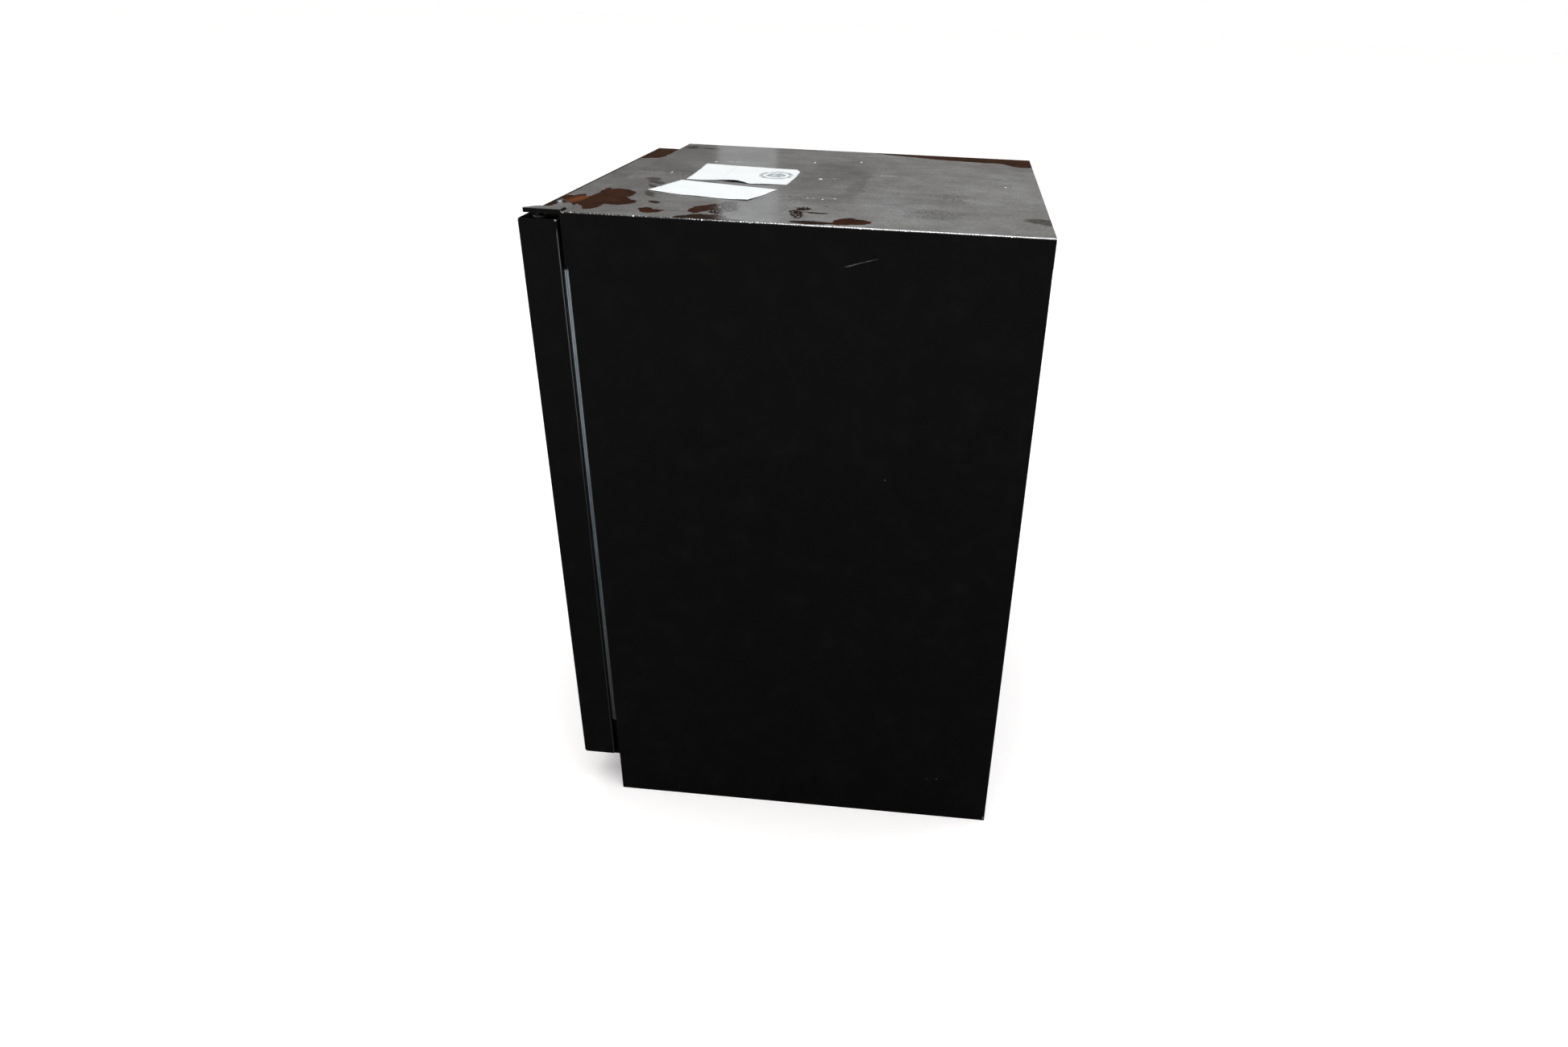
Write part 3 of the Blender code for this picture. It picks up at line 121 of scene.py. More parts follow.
# Wiped and wet-looking, where the paint shows brown
BROWN_PATCHES = [
    (0.2336, -0.2332, 0.0121, 0.0481, 1.56),
    (0.2017, -0.2226, 0.0133, 0.0371, -0.89),
    (0.2027, -0.2450, 0.0067, 0.0656, -1.52),
    (0.2287, -0.2091, 0.0197, 0.0160, -0.88),
    (0.1678, -0.2273, 0.0193, 0.0285, -1.11),
    (0.1556, -0.2860, 0.0068, 0.0185, 1.51),
    (0.1673, -0.2919, 0.0110, 0.0204, -1.09),
    (0.1853, -0.2855, 0.0060, 0.0170, -1.10),
    (0.2646, -0.1663, 0.0088, 0.0144, -1.30),
    (0.2722, -0.1588, 0.0131, 0.0095, -0.91),
    (0.2391, -0.0891, 0.0169, 0.0044, 0.59),
    (0.2502, -0.1002, 0.0176, 0.0054, -0.78),
    (0.2183, -0.0970, 0.0107, 0.0084, -0.67),
    (0.2551, -0.1113, 0.0157, 0.0069, 0.27),
    (0.2346, -0.1035, 0.0118, 0.0222, 1.26),
    (0.2708, 0.0677, 0.0199, 0.0110, -0.40),
    (0.2892, 0.0526, 0.0360, 0.0062, -1.45),
    (0.2723, 0.0821, 0.0146, 0.0153, -1.52),
    (-0.2772, 0.1897, 0.1061, 0.0235, 1.39),
    (-0.2944, 0.0814, 0.0395, 0.0092, 1.10),
    (-0.2726, 0.2730, 0.0312, 0.0429, -0.57),
    (-0.3028, 0.1850, 0.0100, 0.1340, 0.00),
    (-0.2874, -0.2904, 0.0199, 0.0182, -1.36),
    (-0.2473, -0.2904, 0.0192, 0.0502, 1.51),
    (-0.2073, -0.2904, 0.0135, 0.0263, 0.88),
    (0.1840, -0.2680, 0.0380, 0.0130, 0.10),
    (0.2120, -0.2560, 0.0100, 0.0250, 1.30),
    (0.2340, -0.2450, 0.0280, 0.0110, 0.00),
    (0.2340, 0.0300, 0.0030, 0.0120, 0.00),
    (0.2290, -0.2540, 0.0260, 0.0120, -0.30),
    (-0.2600, 0.2950, 0.0440, 0.0300, 0.00),
    (-0.2960, 0.1600, 0.0080, 0.0700, 0.00),
]
# Smudged, and greyer than the brown patches
SMUDGES = [
    (0.2100, 0.2930, 0.0200, 0.0170, -1.55),
    (0.2180, 0.3020, 0.0200, 0.0090, 0.06),
    (-0.2590, -0.2380, 0.0190, 0.0120, 0.00),
    (-0.2560, -0.2050, 0.0120, 0.0200, 0.00),
    (0.0800, -0.2030, 0.0200, 0.0100, 0.82),
    (0.0560, -0.2150, 0.0160, 0.0110, 0.60),
    (0.1150, -0.1980, 0.0250, 0.0060, 0.60),
    (0.1640, -0.1900, 0.0260, 0.0060, 0.42),
]
# Wet and nearly black, with painted shadows round the door's screw and between the labels, and a painted dark
# reflection along the near bend
WET_AND_PAINTED_DARK_PATCHES = [
    # This entry: a painted shadow round the door's screw
    (0.1960, -0.2955, 0.0078, 0.0074, 0.00),
    (0.2169, -0.1704, 0.0103, 0.0056, 0.75),
    # This entry: a painted dark reflection along the near bend
    (0.3037, -0.0623, 0.0714, 0.0023, 1.56),
    (0.2921, -0.1114, 0.0186, 0.0078, -0.91),
    (0.2903, -0.0905, 0.0124, 0.0228, 0.35),
    (0.2951, -0.0736, 0.0072, 0.0316, -0.22),
    (0.1884, -0.3028, 0.0049, 0.0207, -1.52),
    (0.2048, -0.3002, 0.0065, 0.0237, 1.40),
    # These two: a painted shadow between the labels, under the lifted edge
    (0.0610, -0.1033, 0.0170, 0.0150, -0.09),
    (0.0529, -0.1087, 0.0130, 0.0110, 0.74),
    (0.2055, 0.0043, 0.0014, 0.0060, 0.00),
    (0.2300, 0.0250, 0.0022, 0.0165, -0.10),
    (0.1880, 0.0363, 0.0012, 0.0045, 0.00),
    (0.2900, -0.0800, 0.0170, 0.0130, 0.20),
    (0.2860, -0.0980, 0.0120, 0.0160, 0.00),
    # This entry: a painted shadow between the labels
    (0.0620, -0.1040, 0.0120, 0.0150, 0.00),
    (0.2900, 0.0300, 0.0090, 0.0240, 0.00),
]
# Wet film drawn into bubbles
BUBBLED_PATCHES = [
    (0.2231, -0.0769, 0.0300, 0.0110, 0.24),
    (0.2560, -0.0850, 0.0220, 0.0090, 0.30),
    (0.2000, -0.0830, 0.0140, 0.0100, 0.00),
    (0.2450, 0.0080, 0.0280, 0.0080, 0.20),
    (0.2100, 0.0120, 0.0120, 0.0100, 0.00),
]
# Thinner dust
DULL_PATCHES = [
    (0.0300, 0.0560, 0.1300, 0.0120, 0.00),
    (-0.0750, 0.0440, 0.0380, 0.0220, 0.00),
    (0.2000, 0.1720, 0.0330, 0.0340, 0.30),
    (-0.0600, 0.0150, 0.1700, 0.0420, -0.15),
    (0.1300, 0.0250, 0.0450, 0.0300, 0.00),
]
# Dust with fine scratches through it
SCRATCHED_PATCHES = [
    (0.1950, 0.1680, 0.0500, 0.0420, 0.20),
    (0.0900, 0.1900, 0.0500, 0.0250, 0.30),
    (0.1500, -0.0200, 0.0300, 0.0300, 0.00),
    (0.0000, -0.2000, 0.0600, 0.0200, 0.20),
]
# Specks and streaks of something pale
PALE_SPECKS = [
    (-0.1611, -0.0249, 0.0070, 0.0018, 0.0),
    (-0.1890, 0.0437, 0.0070, 0.0018, 0.0),
    (-0.0130, 0.0030, 0.0065, 0.0032, 0.0),
    (-0.0223, 0.2603, 0.0050, 0.0018, 0.0),
    (0.1328, 0.0399, 0.0036, 0.0014, 0.0),
    (0.1412, 0.0254, 0.0036, 0.0014, 0.0),
    (-0.1221, -0.1693, 0.0070, 0.0016, 0.0),
    (-0.0070, -0.2066, 0.0055, 0.0014, 0.0),
]
FAINT_STREAKS = [
    (-0.0190, 0.0180, 0.0060, 0.0150, 0.2),
    (-0.1290, -0.1400, 0.0060, 0.0180, 0.0),
    (0.1380, 0.0080, 0.0060, 0.0120, 0.0),
    (0.1330, 0.0330, 0.0040, 0.0160, 0.0),
    (-0.0700, 0.0900, 0.0060, 0.0250, 0.1),
]
# The orange part of the brown patch beside the door's screw: a painted highlight on the wet stain
STAIN_HIGHLIGHTS = [
    (0.1700, -0.2810, 0.0360, 0.0120, -0.25),
]
# Rubbed corners round the hinge, pale as painted highlights: x, y, z, radius
RUBBED_HIGHLIGHT_CORNERS = [
    (0.3030, -0.3070, 0.8545, 0.0022),
    (0.3030, -0.2625, 0.8540, 0.0018),
    (0.3025, -0.3000, 0.8660, 0.0014),
    (0.3025, -0.3000, 0.8612, 0.0010),
    (0.3030, -0.2535, 0.8640, 0.0024),
]
# Marks on the cabinet's hinge side: y, z, half length, half width, turn
SIDE_MARKS = [
    (0.0915, 0.8255, 0.0207, 0.00035, 0.27),
    (0.0800, 0.8215, 0.0070, 0.00030, 0.32),
    (0.2151, 0.0720, 0.0010, 0.0007, 0.0),
    (0.2299, 0.0738, 0.0009, 0.0007, 0.0),
    (0.1303, 0.5565, 0.0010, 0.0008, 0.0),
    (0.3055, 0.0050, 0.0016, 0.0030, 0.0),
]


# ---------------------------------------------------------------- materials


class Surface:
    """One Principled material, and the node recipes that its look is made of."""

    def __init__(self, name):
        self.material = bpy.data.materials.new(name)
        self.material.use_nodes = True
        self.tree = self.material.node_tree
        self.shader = self.tree.nodes["Principled BSDF"]
        here = self.add("ShaderNodeTexCoord")
        self.place = here.outputs["Object"]
        self.facing = here.outputs["Normal"]

    def add(self, kind, **settings):
        node = self.tree.nodes.new(kind)
        for key, value in settings.items():
            setattr(node, key, value)
        return node

    def plug(self, socket, value):
        """Links a node's output to the socket, or sets the socket to a constant."""
        if isinstance(value, bpy.types.NodeSocket):
            self.tree.links.new(value, socket)
        else:
            socket.default_value = value

    def math(self, operation, first, second=0.0):
        node = self.add("ShaderNodeMath", operation=operation)
        self.plug(node.inputs[0], first)
        self.plug(node.inputs[1], second)
        return node.outputs[0]

    def times(self, *values):
        """The product of the values."""
        product = values[0]
        for value in values[1:]:
            product = self.math("MULTIPLY", product, value)
        return product

    def most(self, *values):
        """The largest of the values."""
        largest = values[0]
        for value in values[1:]:
            largest = self.math("MAXIMUM", largest, value)
        return largest

    def unless(self, value, mask):
        """The value where the mask is 0, fading to nothing where it is 1."""
        return self.math("MULTIPLY", value, self.math("SUBTRACT", 1.0, mask))

    def vector(self, operation, first, second):
        node = self.add("ShaderNodeVectorMath", operation=operation)
        self.plug(node.inputs[0], first)
        self.plug(node.inputs[1], second)
        return node.outputs[0]

    def axes(self, place):
        node = self.add("ShaderNodeSeparateXYZ")
        self.plug(node.inputs[0], place)
        return node.outputs

    def joined(self, x, y, z=0.0):
        node = self.add("ShaderNodeCombineXYZ")
        for socket, value in zip(node.inputs, (x, y, z)):
            self.plug(socket, value)
        return node.outputs[0]

    def noise_node(self, scale, detail, roughness, place):
        node = self.add("ShaderNodeTexNoise")
        self.plug(node.inputs["Vector"], self.place if place is None else place)
        self.plug(node.inputs["Scale"], scale)
        self.plug(node.inputs["Detail"], detail)
        self.plug(node.inputs["Roughness"], roughness)
        return node

    def noise(self, scale, detail=2.0, roughness=0.5, place=None):
        return self.noise_node(scale, detail, roughness, place).outputs["Fac"]

    def stretched(self, x, y, z):
        """The place with each axis scaled, for a grain that runs along the least scaled one."""
        return self.vector("MULTIPLY", self.place, (x, y, z))

    def ragged(self, place, scale, amount):
        """The place pushed about by noise, so that an outline in it wanders."""
        colour = self.noise_node(scale, 2.0, 0.5, place).outputs["Color"]
        centred = self.vector("SUBTRACT", colour, (0.5, 0.5, 0.5))
        push = self.vector("MULTIPLY", centred, (amount, amount, 0.0))
        return self.vector("ADD", place, push)

    def cells(self, scale, output="Distance", place=None, feature="F1"):
        node = self.add("ShaderNodeTexVoronoi", feature=feature)
        self.plug(node.inputs["Vector"], self.place if place is None else place)
        self.plug(node.inputs["Scale"], scale)
        return node.outputs[output]

    def band(self, value, low, high, start=0.0, end=1.0):
        """Start up to low, end from high, and a smooth step between."""
        node = self.add("ShaderNodeMapRange", interpolation_type="SMOOTHSTEP")
        for socket, setting in zip(node.inputs, (value, low, high, start, end)):
            self.plug(socket, setting)
        return node.outputs[0]

    def blend(self, share, first, second):
        node = self.add("ShaderNodeMix", data_type="RGBA")
        self.plug(node.inputs[0], share)
        for socket, value in ((node.inputs[6], first), (node.inputs[7], second)):
            self.plug(socket, value if isinstance(value, bpy.types.NodeSocket) else (*value, 1))
        return node.outputs[2]

    def bump(self, height, depth, under=None):
        node = self.add("ShaderNodeBump")
        self.plug(node.inputs["Height"], height)
        node.inputs["Distance"].default_value = depth
        if under is not None:
            self.plug(node.inputs["Normal"], under)
        return node.outputs[0]

    def patches(self, shapes, place):
        """How far the place is from the nearest ellipse's middle: 1 on its outline."""
        nearest = None
        for x, y, long, wide, turn in shapes:
            node = self.add("ShaderNodeMapping", vector_type="TEXTURE")
            self.plug(node.inputs["Vector"], place)
            node.inputs["Location"].default_value = (x, y, 0)
            node.inputs["Rotation"].default_value = (0, 0, turn)
            node.inputs["Scale"].default_value = (long, wide, 1)
            length = self.add("ShaderNodeVectorMath", operation="LENGTH")
            self.plug(length.inputs[0], node.outputs[0])
            away = length.outputs["Value"]
            nearest = away if nearest is None else self.math("MINIMUM", nearest, away)
        return nearest

    def spots(self, balls, place):
        """How far the place is from the nearest ball's middle: 1 on its surface."""
        nearest = None
        for x, y, z, radius in balls:
            node = self.add("ShaderNodeVectorMath", operation="DISTANCE")
            self.plug(node.inputs[0], place)
            node.inputs[1].default_value = (x, y, z)
            away = self.math("DIVIDE", node.outputs["Value"], radius)
            nearest = away if nearest is None else self.math("MINIMUM", nearest, away)
        return nearest

    def done(self, colour, roughness, normal=None, **constants):
        self.plug(self.shader.inputs["Base Color"], colour)
        self.plug(self.shader.inputs["Roughness"], roughness)
        if normal is not None:
            self.plug(self.shader.inputs["Normal"], normal)
        for key, value in constants.items():
            self.plug(self.shader.inputs[key.replace("_", " ")], value)
        return self.material


def orange_peel(s):
    """The fine dimples of sprayed or powder paint."""
    fine, coarse = s.noise(900, 2.0, 0.5), s.noise(260, 1.0, 0.5)
    return s.bump(fine, 0.000012, s.bump(coarse, 0.000036))


def clean_paint(s):
    """Colour and roughness of satin black powder paint, handled and faintly smeared."""
    mottle = s.band(s.noise(35, 4.0, 0.7), 0.45, 0.75)
    colour = s.blend(mottle, (0.0022, 0.0022, 0.0023), (0.0042, 0.0040, 0.0038))
    smears = s.noise(1.0, 4.0, 0.6, s.stretched(9, 9, 3))
    return colour, s.band(smears, 0.3, 0.7, 0.30, 0.40)


def paint():
    """Satin black powder paint."""
    s = Surface("black_paint")
    return s.done(*clean_paint(s), orange_peel(s), Specular_IOR_Level=0.3)


def wet_and_shadow_masks(s, flat, outline, up, hinge_painted_shade, lip):
    """Where the top is stained brown (none in the painted shade under the hinge), where it is dark and
    bubbled, with painted shadows and a painted dark reflection among the dark, and where it is damp or
    painted dark at all.
    """
    brown = s.band(s.patches(BROWN_PATCHES, outline), 0.97, 1.06, 1.0, 0.0)
    brown = s.unless(s.most(s.times(up, brown), lip), hinge_painted_shade)
    # Dark wet patches, with the painted shadows and the painted dark reflection among them.
    dark = s.times(up, s.band(s.patches(WET_AND_PAINTED_DARK_PATCHES, outline), 0.95, 1.10, 1.0, 0.0))
    squiggles = s.ragged(s.vector("MULTIPLY", flat, (95, 230, 1)), 1.2, 0.9)
    walls = s.cells(1.0, place=squiggles, feature="DISTANCE_TO_EDGE")
    bubbled = s.band(s.patches(BUBBLED_PATCHES, s.ragged(flat, 90, 0.012)), 0.75, 1.15, 1.0, 0.0)
    bubbles = s.times(up, bubbled, s.band(walls, 0.14, 0.32, 1.0, 0.0))
    smudge = s.band(s.patches(SMUDGES, s.ragged(outline, 300, 0.006)), 0.60, 1.10, 0.62, 0.0)
    broken = s.band(s.noise(1.0, 4.0, 0.7, s.stretched(90, 220, 1)), 0.30, 0.62, 0.6, 1.0)
    wet_and_shadow = s.most(brown, dark, bubbles, s.times(up, smudge, broken))
    return brown, dark, bubbles, wet_and_shadow


def dust_cover(s, y, flat, hinge_painted_shade):
    """How thickly dust covers the top, from cloudy, wiped, swirled and scratched layers, with none in the
    painted shade under the hinge plate.
    """
    cloud = s.noise(1.0, 5.0, 0.62, s.stretched(10, 5, 1))
    wiped = s.noise(1.0, 3.0, 0.55, s.stretched(70, 14, 1))
    grain = s.noise(1.0, 4.0, 0.75, s.stretched(120, 260, 1))
    swirl = s.noise(1.0, 5.0, 0.7, s.ragged(s.stretched(24, 30, 1), 0.6, 1.2))
    cover = s.times(
        s.band(cloud, 0.25, 0.75, 0.80, 1.0),
        s.band(wiped, 0.25, 0.8, 0.86, 1.0),
        s.band(grain, 0.32, 0.68, 0.80, 1.04),
        s.band(swirl, 0.34, 0.62, 0.88, 1.04),
    )
    dull = s.band(s.patches(DULL_PATCHES, s.ragged(flat, 18, 0.05)), 0.6, 1.3, 1.0, 0.0)
    cover = s.unless(cover, s.times(dull, 0.20))
    scratches = s.band(s.noise(1.0, 4.0, 0.75, s.stretched(55, 330, 1)), 0.52, 0.60)
    scratched = s.band(s.patches(SCRATCHED_PATCHES, s.ragged(flat, 40, 0.03)), 0.5, 1.1, 0.34, 0.0)
    cover = s.unless(cover, s.times(scratches, scratched))
    return s.unless(s.times(cover, s.band(y, *PALER_TOWARDS_BACK, 0.70, 1.0)), hinge_painted_shade)


def worn_metal_and_highlights(s, x, y, z):
    """Where the paint is rubbed through to pale metal, and painted highlights: along the near bend with
    glinting specks, and on the corners round the hinge.
    """
    bend = s.times(
        s.band(x, SIDE - 0.0022, SIDE - 0.0014),
        s.band(z, TOP - 0.0019, TOP - 0.0011),
        s.band(y, FACE, FACE + 0.0005),
    )
    crest = s.band(z, TOP - 0.0014, TOP - 0.0006)
    rubbed = s.math("ADD", s.noise(600, 3.0, 0.7), s.band(y, -0.16, 0.08, -0.07, 0.08))
    # Glinting specks along the bend: painted highlights.
    glint_dots = s.times(s.band(s.cells(190), 0.16, 0.26, 1.0, 0.0), s.band(s.noise(40), 0.40, 0.50))
    worn_and_highlight = s.times(bend, s.most(glint_dots, s.times(crest, s.band(rubbed, 0.49, 0.56))))
    # Painted highlights on the corners round the hinge.
    corners = s.band(s.spots(RUBBED_HIGHLIGHT_CORNERS, s.place), 0.45, 0.95, 1.0, 0.0)
    return s.most(worn_and_highlight, s.times(corners, s.band(s.noise(900), 0.3, 0.5)))


def dusty_paint():
    """The same paint with a dusty film on top, wiped and stained in places, with painted shade under the
    hinge plate, painted shadows and a painted dark reflection on the top, and painted highlights on the
    door's rear edge, the near bend, the hinge's corners and the stain by the door's screw.
    """
    s = Surface("black_paint_dusty")
    x, y, z = s.axes(s.place)
    across, _, tilt = s.axes(s.facing)
    flat = s.joined(x, y)
    outline = s.ragged(s.ragged(flat, 60, 0.009), 260, 0.0045)
    high = s.band(z, *TOP_LEVEL)
    far_bend = s.times(s.band(tilt, 0.15, 0.40), s.band(x, *FAR_BEND, 1.0, 0.0))
    up = s.times(s.most(s.band(tilt, 0.90, 0.99), far_bend), high)
    # Painted shade under the hinge plate: no dust, stain, coat or specular there, so it shows black.
    hinge_painted_shade = s.times(s.band(x, *HINGE_SHADE), s.band(z, *HINGE_UNDERSIDE, 1.0, 0.0), up)
    lip = s.times(s.band(y, *LIP, 1.0, 0.0), s.band(x, *LIP_END, 1.0, 0.0), s.band(tilt, 0.30, 0.50), high)
    brown, dark, bubbles, wet_and_shadow = wet_and_shadow_masks(s, flat, outline, up, hinge_painted_shade, lip)
    dust = s.unless(s.times(dust_cover(s, y, flat, hinge_painted_shade), up), wet_and_shadow)

    speckle = s.band(s.patches(PALE_SPECKS, flat), 0.5, 1.1, 1.0, 0.0)
    streaks = s.band(s.patches(FAINT_STREAKS, s.ragged(flat, 120, 0.006)), 0.3, 1.1, 1.0, 0.0)
    streaks = s.times(streaks, s.band(s.noise(1.0, 3.0, 0.7, s.stretched(60, 300, 1)), 0.40, 0.62), 0.35)

    bare, rough = clean_paint(s)
    stain = s.blend(s.band(s.noise(70, 3.0), 0.35, 0.7), (0.018, 0.0035, 0.0008), (0.052, 0.0135, 0.0040))
    # Painted highlight: the lit orange part of the stain by the door's screw.
    stain_highlight = s.band(s.patches(STAIN_HIGHLIGHTS, s.ragged(flat, 60, 0.01)), 0.2, 1.3, 1.0, 0.0)
    stain = s.blend(stain_highlight, stain, (0.210, 0.062, 0.016))
    colour = s.blend(brown, bare, stain)
    # Wet patches, bubbles, painted shadows and the painted dark reflection, nearly black.
    colour = s.blend(s.most(dark, bubbles), colour, (0.008, 0.0050, 0.0040))
    film = s.blend(s.band(s.noise(12, 4.0), 0.3, 0.7), (0.282, 0.290, 0.288), (0.345, 0.361, 0.364))
    colour = s.blend(dust, colour, film)
    colour = s.blend(s.times(up, s.most(speckle, streaks)), colour, (0.95, 0.95, 0.93))

    side = s.band(across, 0.8, 0.95)
    marks = s.band(s.patches(SIDE_MARKS, s.joined(y, z)), 0.7, 1.15, 1.0, 0.0)
    marks = s.times(side, marks, s.band(s.noise(400), 0.35, 0.6, 0.4, 1.0))
    colour = s.blend(marks, colour, (0.15, 0.15, 0.16))
    # A painted highlight down the door's rear hem, pale grey, fainter lower down.
    hem_highlight = s.times(
        s.band(s.math("ABSOLUTE", s.math("SUBTRACT", y, HEM)), *HEM_HIGHLIGHT_HALF, 1.0, 0.0),
        side,
        s.band(z, 0.838, 0.846, 1.0, 0.0),
        s.band(z, 0.45, 0.80, 0.2, 1.0),
    )
    colour = s.blend(hem_highlight, colour, (0.125, 0.130, 0.137))
    worn_and_highlight = worn_metal_and_highlights(s, x, y, z)
    # Rubbed-through metal and painted highlights, pale grey.
    colour = s.blend(worn_and_highlight, colour, (0.80, 0.81, 0.84))

    rough = s.blend(dust, s.joined(rough, rough, rough), (0.62, 0.62, 0.62))
    rough = s.blend(wet_and_shadow, rough, (0.10, 0.10, 0.10))
    rough = s.axes(s.blend(worn_and_highlight, rough, (0.24, 0.24, 0.24)))[0]
    gloss = s.unless(up, s.most(hinge_painted_shade, s.times(bubbles, 0.8)))
    ripple = s.bump(s.noise(150, 2.0), 0.00015, orange_peel(s))
    return s.done(
        colour,
        rough,
        ripple,
        Specular_IOR_Level=s.unless(0.3, hinge_painted_shade),
        Metallic=s.times(worn_and_highlight, 0.8),
        Coat_Weight=s.times(gloss, 0.55),
        Coat_Roughness=0.13,
        Coat_IOR=1.4,
    )


def galvanised():
    """Hot-dip zinc: large crystal spangles, each its own grey, with dull bloom."""
    s = Surface("galvanised")
    place = s.ragged(s.place, 40, 0.01)
    tint = s.axes(s.cells(110, "Color", place))[0]
    bloom = s.noise(30, 5.0, 0.65)
    crystals = s.blend(tint, (0.36, 0.37, 0.385), (0.52, 0.53, 0.545))
    colour = s.blend(s.band(bloom, 0.5, 0.75), crystals, (0.60, 0.60, 0.59))
    rough = s.math("ADD", s.band(tint, 0.0, 1.0, 0.30, 0.46), s.band(bloom, 0.5, 0.75, 0.0, 0.2))
    return s.done(colour, rough, s.bump(s.noise(700), 0.00001), Metallic=0.85)


def foam():
    """Poured polyurethane: yellowed, with burst cells."""
    s = Surface("foam")
    age = s.band(s.noise(14, 4.0), 0.3, 0.7)
    colour = s.blend(age, (0.74, 0.62, 0.34), (0.82, 0.72, 0.46))
    burst = s.band(s.cells(520), 0.0, 0.45)
    return s.done(colour, 0.9, s.bump(burst, 0.0004, s.bump(s.noise(60, 4.0), 0.001)))


def moulded(name, pale, deep, roughness, grain=0.00002, scale=1400, **constants):
    """Moulded plastic with a spark-eroded grain, and handling marks in its sheen."""
    s = Surface(name)
    tint = s.band(s.noise(22, 5.0, 0.6), 0.3, 0.72)
    colour = s.blend(tint, pale, deep)
    handled = s.noise(1.0, 5.0, 0.62, s.stretched(26, 26, 9))
    rough = s.band(handled, 0.28, 0.72, roughness - 0.06, roughness + 0.08)
    skin = s.bump(s.noise(scale, 3.0, 0.6), grain, s.bump(s.noise(90, 2.0), grain * 4))
    return s.done(colour, rough, skin, **constants)


def liner_plastic():
    """Vacuum-formed white liner: a soft gloss, yellower and grimier low down."""
    s = Surface("white_plastic")
    z = s.axes(s.place)[2]
    low = s.band(z, 0.16, 0.42, 0.55, 0.0)
    grime = s.times(s.band(s.noise(16, 6.0, 0.66), 0.42, 0.75), s.math("ADD", low, 0.22))
    tint = s.blend(s.band(s.noise(7, 3.0), 0.3, 0.7), (0.80, 0.81, 0.80), (0.76, 0.765, 0.74))
    colour = s.blend(grime, tint, (0.58, 0.55, 0.47))
    scuffs = s.band(s.noise(1.0, 4.0, 0.7, s.stretched(160, 30, 160)), 0.60, 0.74)
    rough = s.math("ADD", s.band(s.noise(30, 4.0), 0.3, 0.7, 0.28, 0.38), s.times(scuffs, 0.2))
    return s.done(colour, rough, s.bump(s.noise(220, 2.0), 0.00006), Subsurface_Weight=0.05)


def clear_plastic():
    """Frosted clear lens."""
    s = Surface("clear_plastic")
    haze = s.noise(1.0, 3.0, 0.5, s.stretched(30, 60, 30))
    colour = s.blend(s.band(haze, 0.3, 0.7), (0.90, 0.90, 0.87), (0.84, 0.85, 0.83))
    rough = s.band(haze, 0.3, 0.7, 0.10, 0.22)
    ripple = s.bump(s.noise(60, 2.0), 0.00002)
    return s.done(colour, rough, ripple, Alpha=0.34, IOR=1.45)


def glass():
    """Tempered shelf glass, faintly green, with wipe marks."""
    s = Surface("glass")
    wipes = s.noise(1.0, 4.0, 0.6, s.stretched(12, 40, 12))
    rough = s.band(wipes, 0.45, 0.72, 0.02, 0.10)
    colour = s.blend(s.band(s.noise(5), 0.3, 0.7), (0.46, 0.60, 0.55), (0.38, 0.52, 0.47))
    return s.done(colour, rough, s.bump(s.noise(25), 0.00004), Alpha=0.42, IOR=1.5)


def brushed(name, pale, deep, roughness, grain=(14, 900, 900), **constants):
    """Metal brushed along X, with dull fingermarks."""
    s = Surface(name)
    lines = s.noise(1.0, 3.0, 0.6, s.stretched(*grain))
    marks = s.band(s.noise(45, 4.0, 0.6), 0.52, 0.74)
    colour = s.blend(lines, deep, pale)
    rough = s.math("ADD", s.band(lines, 0.2, 0.8, roughness, roughness + 0.12), s.times(marks, 0.12))
    return s.done(colour, rough, s.bump(lines, 0.00003), Metallic=1.0, **constants)


def copper():
    """Drawn copper tube: bright where it was handled, brown where it has tarnished."""
    s = Surface("copper")
    tarnish = s.band(s.noise(55, 5.0, 0.65), 0.38, 0.66)
    colour = s.blend(tarnish, (0.80, 0.42, 0.27), (0.34, 0.17, 0.105))
    verdigris = s.band(s.noise(120, 4.0, 0.7), 0.66, 0.76)
    colour = s.blend(verdigris, colour, (0.25, 0.36, 0.30))
    rough = s.math("ADD", s.band(tarnish, 0.0, 1.0, 0.22, 0.46), s.times(verdigris, 0.3))
    return s.done(colour, rough, s.bump(s.noise(500, 3.0), 0.00003), Metallic=0.95)


def enamel():
    """Dipped black enamel, glossy, with settled dust on what faces up."""
    s = Surface("black_enamel")
    up = s.band(s.axes(s.facing)[2], 0.35, 0.95)
    settled = s.times(up, s.band(s.noise(60, 5.0, 0.65), 0.35, 0.7, 0.15, 0.7))
    colour = s.blend(settled, (0.010, 0.010, 0.011), (0.13, 0.125, 0.115))
    rough = s.band(settled, 0.0, 0.6, 0.20, 0.62)
    return s.done(colour, rough, s.bump(s.noise(260, 2.0), 0.00012))


def rubber():
    """Matte black rubber with a bloom of dust."""
    s = Surface("black_rubber")
    bloom = s.band(s.noise(80, 5.0, 0.7), 0.42, 0.72)
    colour = s.blend(bloom, (0.012, 0.012, 0.012), (0.040, 0.039, 0.037))
    rough = s.band(bloom, 0.0, 1.0, 0.66, 0.86)
    return s.done(colour, rough, s.bump(s.noise(1100, 3.0), 0.00005))


